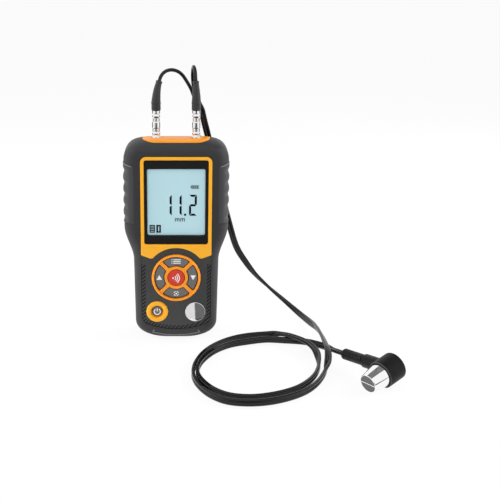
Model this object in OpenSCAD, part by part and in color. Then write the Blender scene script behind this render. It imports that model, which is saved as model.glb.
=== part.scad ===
// Ultrasonic thickness gauge: a hand-held meter with a two-crystal probe on a twin lead.
// Frame: Z is up, the display faces -Y and X runs to the right as seen from the front.
// The origin is the middle of the flat foot on which the meter stands.

/* [Case] */
// Height of the case from the foot to the ridge of its top
case_h = 146; // [142:1:155]
// Width of the head across the grips
head_w = 74; // [70:1:82]
// Width of the handle just below the head
waist_w = 61; // [59:1:66]
// Width of the handle near its lower end
handle_w = 59; // [57:1:62]
// Depth of the case from front to back
case_d = 32; // [31:1:38]
// Height at which the handle starts to widen into the head
waist_low = 59; // [50:1:62]
// Height at which the head has its full width
waist_high = 84; // [76:1:86]
// Radius of the head's upper corners as seen from the front
top_corner_r = 14; // [10:1:17]
// Height of the handle's lower corners as seen from the front
low_corner_h = 12; // [8:1:14]
// Width of the handle's lower corners as seen from the front
low_corner_w = 20; // [8:1:21]
// How far the front and the back curve in towards the foot
foot_round = 7; // [4:1:9]
// Height over which the top curves over to its ridge
crown_h = 7; // [5:1:10]
// Half depth of the flat ridge that carries the sockets
ridge_half = 4; // [4:0.5:6]
// Radius of the case's long edges
edge_r = 9; // [6:1:10]
// Thickness of the side walls
side_wall = 2.2; // [1.8:0.1:2.6]
// Thickness of the front wall under the inlays and over the works
front_wall = 4; // [3.6:0.1:4.6]
// Thickness of the back wall
back_wall = 2.2; // [1.8:0.1:2.6]
// Thickness of the foot
foot_wall = 2.6; // [2:0.1:3.4]
// Thickness of the top under its plate
top_wall = 4; // [3.6:0.1:5]
// Where the two shells part, measured back from the middle
split_y = 5; // [4:0.5:6]

/* [Grips] */
// Lower end of the side grips
grip_low = 86.4; // [83:0.2:90]
// Distance of the side grips' upper end from the top of the case
grip_drop = 17.8; // [16.6:0.2:25]
// How much higher the upper end of a grip is at the side than at its front edge
grip_slant = 2.2; // [0:0.1:3]
// How much lower the lower end of a grip is at the side than at its front edge
grip_dip = 0.8; // [0:0.1:2]
// Distance of a grip's front edge from the middle of the face
grip_x = 30; // [28:0.5:32]
// Thickness of the grip rubber
grip_t = 1.6; // [1.2:0.1:2]
// Number of finger scallops in a grip
scallops = 5; // [3:1:7]
// Depth of a scallop
scallop_depth = 0.9; // [0.4:0.1:1.2]
// Radius of a scallop
scallop_r = 6; // [4:0.5:9]

/* [Face] */
// Depth of the recess for the bezel and the lower panel
inlay_depth = 1.6; // [1.2:0.1:2]
// Width of the bezel and of the lower panel
inlay_w = 50; // [48:0.5:53]
// Distance of the bezel's top edge from the top of the case
bezel_drop = 10.8; // [10:0.2:13]
// How far the bezel stands out of the face
bezel_proud = 0.6; // [0.2:0.1:1.2]
// Corner radius of the bezel
bezel_r = 4; // [2:0.5:7]
// Height at which the bezel's sides end
bezel_side_low = 64.4; // [63:0.2:69]
// Height of the tips of the bezel's two feet
bezel_foot_low = 61.9; // [58:0.1:62.5]
// Distance of the feet's tips from the middle
bezel_foot_x = 18.6; // [16:0.2:19.4]
// Radius of the arch of the bezel over the keys
arch_r = 22.2; // [20:0.1:22.6]
// Width of the display window
window_w = 45; // [43:0.5:46]
// Lower edge of the display window
window_low = 72.5; // [72:0.1:75]
// Width of the bezel above the display window
bezel_rim = 2.4; // [1.6:0.1:4]
// Thickness of the display window
window_t = 1.4; // [1:0.1:1.6]
// Corner radius of the display window
window_r = 1.5; // [1:0.1:3]
// Width of the opening behind the window
view_w = 41; // [38:0.5:42]
// Height of the dark border of the window below the opening
mask_low = 6.1; // [4:0.1:8]
// Height of the dark border of the window above the opening
mask_top = 6.2; // [5:0.1:9]
// Lower edge of the lower panel
panel_low = 8; // [7:0.5:10]
// Radius of the lower panel's lower corners
panel_r = 6; // [4:0.5:8]
// Radius of the arc along the panel's foot
panel_arc_r = 57; // [50:1:80]

/* [Keys] */
// Height of the middle of the round key cluster
key_z = 47.5; // [47:0.1:48]
// Diameter of the ring around the keys
ring_d = 35; // [34:0.2:37]
// Width of the ring's rim
ring_rim = 1.75; // [1.2:0.05:2.4]
// Diameter of the hub around the middle key
hub_d = 17; // [16:0.2:18]
// Width of the four slanted spokes
spoke_w = 2.7; // [2.2:0.1:3.4]
// Diameter of the middle key
centre_d = 12; // [10:0.2:13]
// How far the key frame stands out of the face
frame_proud = 1.7; // [1.2:0.1:2.4]
// How far the keys stand out of the face
key_proud = 0.4; // [0.2:0.1:1.6]
// How far the middle key stands out of the face
centre_proud = 1.1; // [0.8:0.1:2.4]
// Free gap around each key
key_gap = 0.3; // [0.2:0.05:0.4]
// Travel of a key
key_travel = 0.8; // [0.4:0.1:1]
// Thickness of the flange that keeps a key behind the wall
flange_t = 1; // [0.8:0.1:1.4]
// How far the flange reaches past the key
flange_w = 0.8; // [0.6:0.1:0.9]
// Gap between a flange and the wall at rest
flange_gap = 0.1; // [0.05:0.05:0.3]
// Width of the bevel around a key's top
key_bevel = 0.5; // [0.3:0.1:0.7]
// Diameter of the plunger under a key
plunger_d = 4; // [3:0.2:5]
// Height of the row with the power key and the test block
row_z = 21.6; // [20:0.2:21.8]
// Distance of the power key and the test block from the middle
row_x = 13.75; // [13:0.25:14.5]
// Diameter of the domed ring around the power key
power_ring_d = 15.8; // [14:0.2:16]
// Diameter of the power key
power_d = 7.2; // [6:0.2:8]
// How far the power key stands out of the face
power_proud = 0.9; // [0.4:0.1:1.4]
// Diameter of the steel test block
test_d = 14.6; // [13:0.2:15.6]
// Thickness of the steel test block
test_t = 4; // [3:0.1:5]
// How far the test block stands out of the face
test_proud = 0.9; // [0.3:0.1:1.4]

/* [Works] */
// Thickness of the liquid crystal panel behind the front wall
lcd_t = 2.5; // [2:0.1:3.2]
// Gap around the raised glass of the liquid crystal panel
lcd_gap = 0.2; // [0.15:0.05:0.3]
// How far the liquid crystal panel reaches past the opening on each side
lcd_lap = 1.5; // [1:0.1:1.6]
// Distance of the circuit board from the front wall
board_gap = 7; // [6.6:0.1:8]
// Thickness of the circuit board
board_t = 1.6; // [1:0.1:2]
// Width of the circuit board in the head
board_head_w = 45.6; // [44:0.2:47]
// Width of the circuit board in the handle
board_handle_w = 41; // [38:0.5:41]
// Lower edge of the circuit board
board_low = 12; // [10:0.5:12.5]
// Distance of the board's upper edge from the top of the case
board_drop = 8; // [7.5:0.5:11]
// Thickness of the key mat
mat_t = 1.2; // [0.8:0.1:1.4]
// Height of the switch domes on the key mat
dome_h = 1; // [0.6:0.1:1.2]
// Diameter of the switch domes
dome_d = 6; // [5:0.2:7]
// Diameter of the posts that carry the board
post_d = 5; // [4:0.2:5.4]

/* [Top] */
// Thickness of the connector plate
plate_t = 1.6; // [1.2:0.1:2]
// Width of the connector plate
plate_w = 47.5; // [46:0.5:51]
// Distance of the plate's front edge from the middle
plate_front = 11.5; // [9:0.5:12]
// Radius of the plate's rounded ends
plate_r = 9.5; // [6:0.5:10]
// Distance between the two sockets
socket_pitch = 28; // [24:0.5:30]
// Diameter of the socket barrels
barrel_d = 5; // [4:0.1:5.6]
// Length of the socket barrels below the ridge
barrel_len = 10; // [8:0.5:11]
// Diameter of the socket flanges
socket_flange_d = 7.4; // [6.6:0.1:8]
// Height of the socket flanges
socket_flange_h = 1.5; // [1:0.1:2]
// Diameter of the plugs and of the socket noses
plug_d = 5.9; // [5:0.1:6.4]
// Height of the socket noses
nose_h = 2.8; // [1.4:0.1:3.4]
// Length of a plug from the socket nose to its boot
plug_len = 14.8; // [12:0.2:18]
// Diameter of a boot at its plug
boot_d = 6.5; // [6:0.1:7.4]
// Diameter of a boot at its lead
boot_end_d = 3.9; // [3:0.1:4.4]
// Across-flats size of the nuts below the top
nut_af = 7; // [6.6:0.1:7.6]
// Height of the nuts below the top
nut_h = 1.8; // [1.4:0.1:2.4]

/* [Battery] */
// Diameter of a cell
cell_d = 10.4; // [10:0.1:10.6]
// Length of a cell with its nipple
cell_len = 44.5; // [42:0.5:45]
// Number of cells side by side
cells = 3; // [2:1:3]
// Distance between the axes of neighbouring cells
cell_pitch = 10.8; // [10.7:0.1:11.2]
// Lower end of the battery bay inside
bay_low = 14; // [13.5:0.1:15]
// Length of the battery bay inside
bay_len = 49.4; // [49:0.1:50.5]
// Thickness of the bay's walls
bay_wall = 1.4; // [1:0.1:1.6]
// Thickness of the battery cover
cover_t = 2.2; // [1.8:0.1:2.6]
// How far the cover reaches past the bay on each side
cover_lap = 1.8; // [1.6:0.1:2]
// Gap around the cover
cover_gap = 0.4; // [0.3:0.05:0.6]
// Corner radius of the cover
cover_r = 3; // [2:0.5:5]
// Diameter of a case screw's head
screw_head_d = 5.2; // [4.4:0.1:5.4]
// Height of a case screw's head
screw_head_h = 1.6; // [1.2:0.1:2]
// Diameter of a case screw's shank
screw_d = 2.5; // [2:0.1:2.8]
// Length of a case screw's shank
screw_len = 15; // [12:0.5:18]
// Depth of the screws' seats below the back
screw_sink = 4.6; // [4.2:0.1:5.4]

/* [Probe] */
// Diameter of the probe's face
face_d = 12.8; // [12.4:0.2:13.4]
// Length of the metal cone from the face to the cap
cone_len = 11.8; // [10:0.2:14]
// Diameter of the cone at the cap
cone_d = 16.4; // [15:0.2:17]
// Diameter of the probe's cap
cap_d = 18.6; // [18:0.2:20]
// Length of the probe's cap
cap_len = 14.8; // [13:0.2:17]
// Diameter of the delay lines in the face
delay_d = 11.4; // [9:0.2:11.6]
// Length of the delay lines
delay_len = 9; // [7:0.5:10]
// Thickness of the barrier between the delay lines
barrier_t = 0.6; // [0.4:0.1:1]
// Direction in which the probe's back points, on the floor
probe_heading = 37; // [20:1:60]
// Distance of the probe's boot from the face, along the axis
boot_at = 21; // [19.6:0.1:21.4]
// Length of the probe's boot from the axis
boot_reach = 40; // [38:0.2:46]
// Length of the thick part of the boot from the axis
boot_thick_reach = 21.5; // [18:0.5:28]
// Diameter of the thick part of the boot
boot_thick_d = 9.4; // [8:0.1:10]
// Diameter of the thin part of the boot
boot_thin_d = 7.6; // [6.6:0.1:7.8]
// Angle at which the boot dips towards the floor
boot_dip = 5; // [0:0.5:7]

/* [Leads] */
// Diameter of one strand of the lead
strand_d = 2.5; // [2:0.1:3]

/* [Hidden] */
$fn = 64;

// Clearance around an inlay that is bonded in
fit = 0.1;
// Overlap that lets one solid grow out of another
bite = 0.5;
// Extra length of a cutting shape past the surface
past = 1;

// Planes of the case, from the front to the back
front_y = -case_d / 2;
back_y = case_d / 2;
recess_y = front_y + inlay_depth;
wall_y = front_y + front_wall;
lcd_back_y = wall_y + lcd_t;
board_y = wall_y + board_gap;
board_back_y = board_y + board_t;
back_in_y = back_y - back_wall;

// Heights on the face, from the lower edge of the window up to the top of the case
bezel_top = case_h - bezel_drop;
window_top = bezel_top - bezel_rim;
view_low = window_low + mask_low;
view_top = window_top - mask_top;
grip_top = case_h - grip_drop;
board_top = case_h - board_drop;

// Levels of the keys
flange_y = wall_y + flange_gap;
mat_y = board_y - mat_t;
dome_y = mat_y - dome_h;
dome_spare = 0.2;
plunger_y = dome_y - key_travel - dome_spare;
hub_r = hub_d / 2;
ring_in_r = ring_d / 2 - ring_rim;
plunger_r = (hub_r + ring_in_r) / 2;

// Screws as [x, z], two in the head and two in the handle
head_screw_x = 27;
head_screw_drop = 14;
handle_screw_x = 24;
handle_screw_z = 18;
head_screw = [head_screw_x, case_h - head_screw_drop];
handle_screw = [handle_screw_x, handle_screw_z];
screw_spots = [for (side = [-1, 1]) for (p = [head_screw, handle_screw]) [side * p[0], p[1]]];
screw_seat_y = back_y - screw_sink;
screw_free = 0.2;
post_wall = 1.75;
tube_wall = 1.8;

// Posts for the board as [x, z], clear of the liquid crystal panel and of the keys
post_x = 18;
post_gap = 2.4;
post_out = lcd_lap + post_gap + post_d / 2;
post_heights = [view_low - post_out, view_top + post_out];
board_posts = [for (side = [-1, 1]) for (z = post_heights) [side * post_x, z]];
board_edge = 1.7;
board_step = post_heights[0] - post_d / 2 - board_edge;

// Battery bay
cell_r = cell_d / 2;
cover_in_y = back_y - cover_t;
cover_seat = 0.1;
cell_play = 0.5;
floor_play = 0.3;
side_play = 1.2;
hinge_lap = 2;
latch_lap = 1.2;
cell_y = cover_in_y - cell_play - cell_r;
bay_floor_y = cell_y - cell_r - floor_play;
bay_half = ((cells - 1) * cell_pitch + cell_d) / 2 + side_play;
bay_top = bay_low + bay_len;
cover_half = bay_half + cover_lap;
cover_low = bay_low - hinge_lap;
cover_top = bay_top + latch_lap;
hinge_r = cover_t / 2;
hinge_y = back_y - hinge_r;
hinge_z = cover_low + hinge_r;
cell_low = bay_top - cell_play - cell_len;
ledge_w = 2;
tab_w = 6;
tab_x = cell_pitch;
tab_toe = 2.2;
tab_root = 2.5;
tab_free = 0.3;
tab_t = 1.4;
tab_swing = 1.7;
tab_back_y = back_in_y - tab_free;
tab_front_y = tab_back_y - tab_t;
contact_t = 0.4;
contact_drop = 0.6;
contact_y = cell_y - contact_drop;
contact_w = 7;
spring_wire = 0.6;
nipple_h = 1;
nipple_d = 3.8;

// Probe: it rests on the rim of its face and on the front rim of its cap
face_r = face_d / 2;
cap_r = cap_d / 2;
probe_tilt = atan((cap_r - face_r) / cone_len);
probe_face = [122, -105.5, face_r * cos(probe_tilt)];
probe_axis = [cos(probe_heading) * cos(probe_tilt), sin(probe_heading) * cos(probe_tilt), sin(probe_tilt)];
probe_side = [-sin(probe_heading), cos(probe_heading), 0];
probe_up = cross(probe_axis, probe_side);
boot_dir = probe_side * cos(boot_dip) - probe_up * sin(boot_dip);
boot_end = probe_face + probe_axis * boot_at + boot_dir * boot_reach;
cap_wall = 1.7;
shell_in_cap = 4;
spigot_step = 1;
boot_neck_d = boot_thin_d - 2;
crystal_t = 0.6;
crystal_edge = 0.4;

// Heights between which the twin cable twists: half a turn as it falls, a quarter as it nears the floor
// and another one as it comes to stand on its edge
fall_twist = [70, 20];
low_twist = [20, 8];
edge_twist = [8, 2.6];
// Straight length of the twin cable at the probe's boot
boot_run = 8;

// Leads, boots and the twin cable: routes of their centre lines
plug_low = case_h + socket_flange_h + nose_h;
plug_top = plug_low + plug_len;
socket_x = socket_pitch / 2;
boot_left_route = [for (p = [[0, 0, 0], [0, 0, 6.5], [0.5, 0.3, 12], [1.3, 0.7, 16.4], [2.4, 1.1, 20.2]])
    p + [-socket_x, 0, plug_top]];
boot_right_route = [for (p = [[0, 0, 0], [0, 0, 6.5], [-0.1, 0, 12], [-0.3, 0.1, 16.4], [-0.5, 0.2, 20.2]])
    p + [socket_x, 0, plug_top]];
twin_route = concat([[19.2, 19.4, 158.5], [20.6, 20, 152.8], [23, 21, 143.5], [28, 25, 122], [34, 30, 98],
    [41, 36, 71.5], [44, 39.2, 61.8], [47, 42, 52.5], [50.2, 43.9, 46], [54, 45, 40.5], [58, 46.2, 34.9],
    [62, 47, 29.5], [67.5, 47, 23.8], [73.5, 46, 18.5], [79, 43.9, 14.2], [84, 41, 10.4], [91, 34.5, 5.8],
    [96, 26.5, 3.4], [101, 10.5, 3.4], [103.4, -6, 5.6], [104.4, -25, 7.6], [104.5, -43.3, 8.4],
    [104.4, -54.6, 8.6], [103.5, -63.4, 7], [101.5, -72.3, 4.8], [98.1, -81.9, 3], [91, -96.7, 2.5],
    [82.4, -108, 2.5], [71, -116.8, 2.5], [57.5, -122.8, 2.5], [43.9, -124.5, 2.5], [31.3, -121.8, 2.5],
    [21.9, -113.4, 2.5], [15, -100.8, 2.5], [11.6, -87.6, 2.5], [11.5, -75.6, 2.5], [13.9, -62.3, 2.5],
    [19.3, -47.4, 2.5], [27.4, -34.4, 2.5], [38, -23.8, 2.5], [51.1, -16.6, 2.5], [66.4, -14.3, 3.6],
    [77.4, -21.7, 6.9], [86.2, -29.3, 7.4], [92.8, -38.1, 7.2], [96.7, -48.4, 5.8], [97.4, -60.9, 3.9],
    [96, -70.8, 2.7], [91.2, -85.1, 2.5], [84.2, -96.7, 2.5], [75.8, -105.6, 2.5], [62.5, -113.4, 2.5],
    [47.2, -117.4, 2.5], [33.7, -115, 2.5], [24.5, -107.2, 2.5], [18.1, -95.9, 2.5], [14.8, -85.1, 2.5],
    [14.3, -75.6, 2.5], [16.6, -64.1, 2.5], [22.1, -51.2, 2.5], [29.5, -40.3, 2.5], [39.2, -31.8, 2.5],
    [51.2, -26.6, 2.5], [65.5, -24, 2.5], [78, -24, 2.5], [88, -25.8, 2.6], [96, -29.6, 3],
    [103.6, -35.8, 3.6]],
    [boot_end + boot_dir * boot_run, boot_end]);
twin_start = twin_route[0];
strand_run = 4;
twin_dir = unit(twin_route[1] - twin_start);
twin_across = unit(cross(cable_normal(twin_start, twin_dir), twin_dir));
left_start = twin_start - twin_across * strand_d / 2;
right_start = twin_start + twin_across * strand_d / 2;
left_dir = unit(boot_left_route[4] - boot_left_route[3]);
right_dir = unit(boot_right_route[4] - boot_right_route[3]);
lead_left_route = [boot_left_route[4], boot_left_route[4] + left_dir * 2, [-9.7, 2, 189.6],
    [-7.2, 2.9, 191.6], [-3.2, 4.4, 192.4], [1.2, 6.2, 191.1], [4.3, 7.7, 188.5], [7.4, 9.8, 183.9],
    [10.3, 12, 178.6], [13, 15, 171.5], left_start - twin_dir * strand_run, left_start];
lead_right_route = [boot_right_route[4], boot_right_route[4] + right_dir * 2, [13.1, 0.9, 191.4],
    [12.6, 2.9, 193.6], [12.2, 5.8, 194.4], [11.9, 8.7, 193.6], [11.6, 10.8, 191.2], [11.5, 12.2, 186.6],
    [12.2, 14, 180], [14.2, 16.4, 173.6], [16.9, 18.2, 167.7],
    right_start - twin_dir * strand_run, right_start];

// Form of the case

// Eases from 0 to 1 as t goes from 0 to 1
function ease(t) = let (u = min(1, max(0, t))) u * u * (3 - 2 * u);

// How far an arc of radius r stands in at the distance u from its end
function arc_in(u, r) = u >= r ? 0 : r - sqrt(r * r - (r - u) * (r - u));

// Half width of the case at the height z
function side_at(z) = z < waist_low ? (handle_w + (waist_w - handle_w) * z / waist_low) / 2
    : (waist_w + (head_w - waist_w) * ease((z - waist_low) / (waist_high - waist_low))) / 2;
function half_w(z) = side_at(z) - arc_in(case_h - z, top_corner_r)
    - arc_in(z, low_corner_h) * low_corner_w / low_corner_h;

// Half depth of the case at the height z
function crown(u) = u >= crown_h ? 1 : sqrt(1 - (1 - u / crown_h) * (1 - u / crown_h));
function half_d(z) = ridge_half + (case_d / 2 - ridge_half) * crown(case_h - z) - arc_in(z, foot_round);

// Heights of the sections: close together where the outline bends
arc_steps = 5;
waist_steps = 6;
function levels(low, high) = concat(
    [for (i = [0 : arc_steps]) low + low_corner_h * (1 - cos(90 * i / arc_steps))],
    [for (i = [0 : waist_steps]) waist_low + (waist_high - waist_low) * i / waist_steps],
    [for (i = [0 : arc_steps]) high - top_corner_r * (1 - cos(90 - 90 * i / arc_steps))]);

// One section: a rounded rectangle at the height z, from the front yf to the back yb
corner_steps = 5;
function section(z, hw, yf, yb, r) = [for (q = [0 : 3]) for (i = [0 : corner_steps])
    let (a = 90 * q + 90 * i / corner_steps, sx = q == 0 || q == 3 ? 1 : -1, back = q < 2)
    [sx * (hw - r) + r * cos(a), (back ? yb - r : yf + r) + r * sin(a), z]];

// A solid lofted through the sections, each a ring of as many points
module loft(rings) {
    n = len(rings[0]);
    last = len(rings) - 1;
    points = [for (ring = rings) for (p = ring) p];
    sides = [for (k = [0 : last - 1]) for (i = [0 : n - 1])
        let (a = k * n + i, b = k * n + (i + 1) % n)
        each [[a, a + n, b + n], [a, b + n, b]]];
    low_cap = [for (i = [0 : n - 1]) i];
    high_cap = [for (i = [0 : n - 1]) last * n + n - 1 - i];
    polyhedron(points = points, faces = concat([low_cap], sides, [high_cap]), convexity = 8);
}

// Largest share of the half depth that the edge radius may take
edge_share = 0.95;

// The case as one solid, with its skin moved in at the sides and at the front and back
module case_form(side_in = 0, front_in = 0, back_in = 0, low = 0, high = case_h) {
    loft([for (z = levels(low, high))
        let (d = half_d(z), hw = half_w(z) - side_in, yf = front_in - d, yb = d - back_in,
            r = min(max(edge_r - side_in, 1), edge_share * (yb - yf) / 2))
        section(z, hw, yf, yb, r)]);
}

module cavity() {
    case_form(side_wall, front_wall, back_wall, foot_wall, case_h - top_wall);
}

// All that lies in front of the plane where the shells part
module front_half() {
    big = 3 * case_h;
    translate([-big / 2, split_y - big, -big / 4]) cube(big);
}

// Shapes drawn on the face, in X and Z

// A slab of a drawing between two planes across Y
module slab(y0, y1) {
    translate([0, y1, 0]) rotate([90, 0, 0]) linear_extrude(y1 - y0) children();
}

// Turns a profile about an axis along Y: the profile's height runs from y towards the front
module turned(x, z, y) {
    translate([x, y, z]) rotate([90, 0, 0]) rotate_extrude() children();
}

module rounded(w, h, r) {
    square([w - 2 * r, h], center = true);
    square([w, h - 2 * r], center = true);
    for (sx = [-1, 1]) for (sy = [-1, 1]) translate([sx * (w / 2 - r), sy * (h / 2 - r)]) circle(r);
}

module rounded_from(w, low, high, r) {
    translate([0, (low + high) / 2]) rounded(w, high - low, r);
}

// Half of the panel's foot: a round corner and an arc, from the side to the middle or back
function panel_foot(side, g) = let (cx = inlay_w / 2 - panel_r, cz = panel_low + panel_arc_r,
        dz = sqrt(pow(panel_arc_r - panel_r, 2) - cx * cx), end = atan2(dz, cx), steps = 5,
        bend = [for (i = [0 : steps]) let (a = end * i / steps)
            [cx + (panel_r + g) * cos(a), cz - dz - (panel_r + g) * sin(a)]],
        arc = [for (i = [1 : steps]) let (a = end + (90 - end) * i / steps)
            [(panel_arc_r + g) * cos(a), cz - (panel_arc_r + g) * sin(a)]],
        half = concat(bend, arc), last = len(half) - 1)
    side < 0 ? [for (p = half) [-p[0], p[1]]] : [for (i = [last - 1 : -1 : 0]) half[i]];

// Outline of the recess that holds the bezel and the lower panel
module inlay_outline(g) {
    middle = (panel_low + bezel_top) / 2;
    rounded_from(inlay_w + 2 * g, middle - bezel_r - g, bezel_top + g, bezel_r + g);
    polygon(concat([[-inlay_w / 2 - g, middle + bezel_r]], panel_foot(-1, g), panel_foot(1, g),
        [[inlay_w / 2 + g, middle + bezel_r]]));
}

// The part of the face above the bezel's lower edge, without its arch
module above_feet(drop) {
    half = inlay_w / 2 + past;
    slope = (bezel_side_low - bezel_foot_low) / (inlay_w / 2 - bezel_foot_x);
    side = bezel_foot_low + slope * (half - bezel_foot_x) - drop;
    tip = bezel_foot_low - drop;
    polygon([[-half, side], [-bezel_foot_x, tip], [bezel_foot_x, tip], [half, side],
        [half, case_h], [-half, case_h]]);
}

module window_outline(g) {
    rounded_from(window_w + 2 * g, window_low - g, window_top + g, window_r + g);
}

// A quarter of the key cluster, above the middle, between two radii and two spokes
module quarter(r_in, r_out, spoke) {
    tip = spoke / 2 * sqrt(2);
    intersection() {
        difference() {
            circle(r_out);
            circle(r_in);
        }
        polygon([[0, tip], [r_out, r_out + tip], [-r_out, r_out + tip]]);
    }
}

module quarters(r_in, r_out, spoke) {
    for (turn = [0 : 90 : 270]) rotate(turn) quarter(r_in, r_out, spoke);
}

// Case shells

module grip_zone(side, g) {
    depth = case_d + past;
    rise = grip_slant / (head_w / 2 - grip_x);
    fall = grip_dip / (head_w / 2 - grip_x);
    outer = grip_x + head_w;
    slab(split_y - depth - g, split_y) polygon([for (p = [[grip_x - g, grip_low + grip_dip - g],
        [outer, grip_low + grip_dip - fall * head_w - g], [outer, grip_top + rise * head_w + g],
        [grip_x - g, grip_top + g]]) [side * p[0], p[1]]]);
}

module plate_zone(g) {
    translate([0, 0, case_h - crown_h]) linear_extrude(crown_h + past) intersection() {
        rounded(plate_w + 2 * g, 2 * (plate_front + g), plate_r + g);
        translate([-plate_w, -plate_w + split_y]) square([2 * plate_w, plate_w]);
    }
}

module front_case() {
    test_back_y = front_y - test_proud + test_t;
    seat_wall = 1.5;
    seat_floor = 1.2;
    seat_h = max(test_back_y + seat_floor - wall_y, 0);
    color("#454648") difference() {
        union() {
            difference() {
                intersection() {
                    case_form();
                    front_half();
                }
                cavity();
            }
            for (p = screw_spots) translate([p[0], wall_y - bite, p[1]]) rotate([-90, 0, 0])
                cylinder(d = screw_d + 2 * post_wall, h = split_y - wall_y + bite);
            for (p = board_posts) translate([p[0], wall_y - bite, p[1]]) rotate([-90, 0, 0])
                cylinder(d = post_d, h = board_gap + bite);
            translate([row_x, wall_y - bite, row_z]) rotate([-90, 0, 0])
                cylinder(d = test_d + 2 * seat_wall, h = seat_h + bite);
        }
        slab(front_y - past, recess_y) inlay_outline(fit);
        slab(front_y, wall_y + past) rounded_from(view_w, view_low, view_top, window_r);
        translate([0, 0, key_z]) slab(front_y, wall_y + past) quarters(hub_r, ring_in_r, spoke_w);
        slab(front_y, wall_y + past) translate([0, key_z]) circle(d = centre_d + 2 * key_gap);
        slab(front_y, wall_y + past) translate([-row_x, row_z]) circle(d = power_d + 2 * key_gap);
        slab(front_y, test_back_y) translate([row_x, row_z]) circle(d = test_d + 2 * fit);
        for (p = screw_spots) translate([p[0], split_y - screw_len, p[1]]) rotate([-90, 0, 0])
            cylinder(d = screw_d + screw_free, h = screw_len + past);
        difference() {
            for (side = [-1, 1]) grip_zone(side, 0);
            case_form(grip_t, grip_t, grip_t);
        }
        difference() {
            plate_zone(fit);
            translate([0, 0, -plate_t]) case_form();
        }
        for (side = [-1, 1]) translate([side * socket_x, 0, case_h - top_wall - past])
            cylinder(d = barrel_d + 2 * fit, h = top_wall + 2 * past);
    }
}

module tab_slots() {
    wide = tab_w + 2 * cover_gap;
    for (side = [-1, 1])
        translate([side * tab_x - wide / 2, tab_front_y - tab_swing, cover_low - tab_toe - cover_gap])
        cube([wide, back_in_y - tab_front_y + tab_swing, tab_toe + tab_root + 2 * cover_gap]);
}

module back_case() {
    tub_half = bay_half + bay_wall;
    color("#3f4042") difference() {
        union() {
            difference() {
                case_form();
                front_half();
                cavity();
            }
            intersection() {
                case_form();
                for (p = screw_spots) translate([p[0], split_y, p[1]]) rotate([-90, 0, 0])
                    cylinder(d = screw_d + 2 * screw_free + 2 * tube_wall, h = back_in_y + bite - split_y);
            }
            translate([-tub_half, bay_floor_y - bay_wall, bay_low - bay_wall])
                cube([2 * tub_half, back_in_y + bite - bay_floor_y + bay_wall, bay_len + 2 * bay_wall]);
            slab(back_in_y - bay_wall, back_in_y + bite)
                square_from(cover_half + ledge_w, cover_low - ledge_w, cover_top + ledge_w);
        }
        slab(bay_floor_y, back_y + past) square_from(bay_half, bay_low, bay_top);
        slab(cover_in_y - cover_seat, back_y + past) cover_outline(cover_low - cover_gap, cover_gap);
        tab_slots();
        for (p = screw_spots) {
            translate([p[0], split_y - past, p[1]]) rotate([-90, 0, 0])
                cylinder(d = screw_d + 2 * screw_free, h = case_d);
            translate([p[0], screw_seat_y, p[1]]) rotate([-90, 0, 0])
                cylinder(d = screw_head_d + 2 * screw_free, h = case_d);
        }
    }
}

module square_from(half, low, high) {
    translate([-half, low]) square([2 * half, high - low]);
}

// A rubber inlay on one side of the head, with scallops for the fingers
module side_grip(side) {
    pitch = (grip_top - grip_low) / scallops;
    scallop_x = side * (head_w / 2 + scallop_r - scallop_depth);
    color("#3a3a3c") difference() {
        intersection() {
            case_form();
            grip_zone(side, -fit);
        }
        case_form(grip_t, grip_t, grip_t);
        for (i = [0 : scallops - 1])
            translate([scallop_x, split_y + past, grip_low + pitch * (i + 0.5)])
            rotate([90, 0, 0]) cylinder(r = scallop_r, h = case_d);
    }
}

module side_grip_left() {
    side_grip(-1);
}

module side_grip_right() {
    side_grip(1);
}

// Face

module window_bezel() {
    color("#fdb127") slab(front_y - bezel_proud, recess_y) difference() {
        intersection() {
            inlay_outline(0);
            above_feet(0);
        }
        translate([0, key_z]) circle(arch_r);
        window_outline(fit);
    }
}

module display_window() {
    color("#262626") slab(recess_y - window_t, recess_y) window_outline(0);
}

module lower_panel() {
    color("#3b3c3e") slab(front_y, recess_y) difference() {
        union() {
            difference() {
                inlay_outline(0);
                above_feet(2 * fit);
            }
            translate([0, key_z]) circle(arch_r - 2 * fit);
        }
        translate([0, key_z]) circle(d = ring_d + 2 * fit);
        translate([-row_x, row_z]) circle(d = power_ring_d + 2 * fit);
        translate([row_x, row_z]) circle(d = test_d + 2 * fit);
    }
}

// The panel lies behind the wall, and its glass stands in the opening up to the window
module lcd_panel() {
    color("#b9dde6") {
        slab(wall_y, lcd_back_y)
            square_from(view_w / 2 + lcd_lap, view_low - lcd_lap, view_top + lcd_lap);
        slab(recess_y + lcd_gap, wall_y + bite)
            rounded_from(view_w - 2 * lcd_gap, view_low + lcd_gap, view_top - lcd_gap, window_r - lcd_gap);
    }
}

module backlight() {
    color("#f2f2ee") slab(lcd_back_y, board_y)
        square_from(view_w / 2 + lcd_lap, view_low - lcd_lap, view_top + lcd_lap);
}

module main_board() {
    chip_w = 14;
    chip_h = 1.2;
    chip_gap = 6;
    color("#1f6b3a") {
        slab(board_y, board_back_y) {
            square_from(board_handle_w / 2, board_low, board_step + bite);
            square_from(board_head_w / 2, board_step, board_top);
        }
        for (i = [0, 1])
            translate([-chip_w / 2, board_back_y - bite, view_low + chip_gap + i * (chip_w + chip_gap)])
            cube([chip_w, chip_h + bite, chip_w]);
    }
}

// The rubber sheet with one switch dome under each key
module key_mat() {
    margin = 2;
    color("#8f9092") {
        slab(mat_y, board_y)
            square_from(ring_d / 2 + margin, row_z - dome_d / 2 - margin, key_z + ring_d / 2);
        slab(dome_y, mat_y + bite) {
            translate([0, key_z]) circle(d = dome_d);
            translate([-row_x, row_z]) circle(d = dome_d);
            for (turn = [0 : 90 : 270]) translate([0, key_z]) rotate(turn)
                translate([0, plunger_r]) circle(d = dome_d);
        }
    }
}

// Keys

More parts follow.
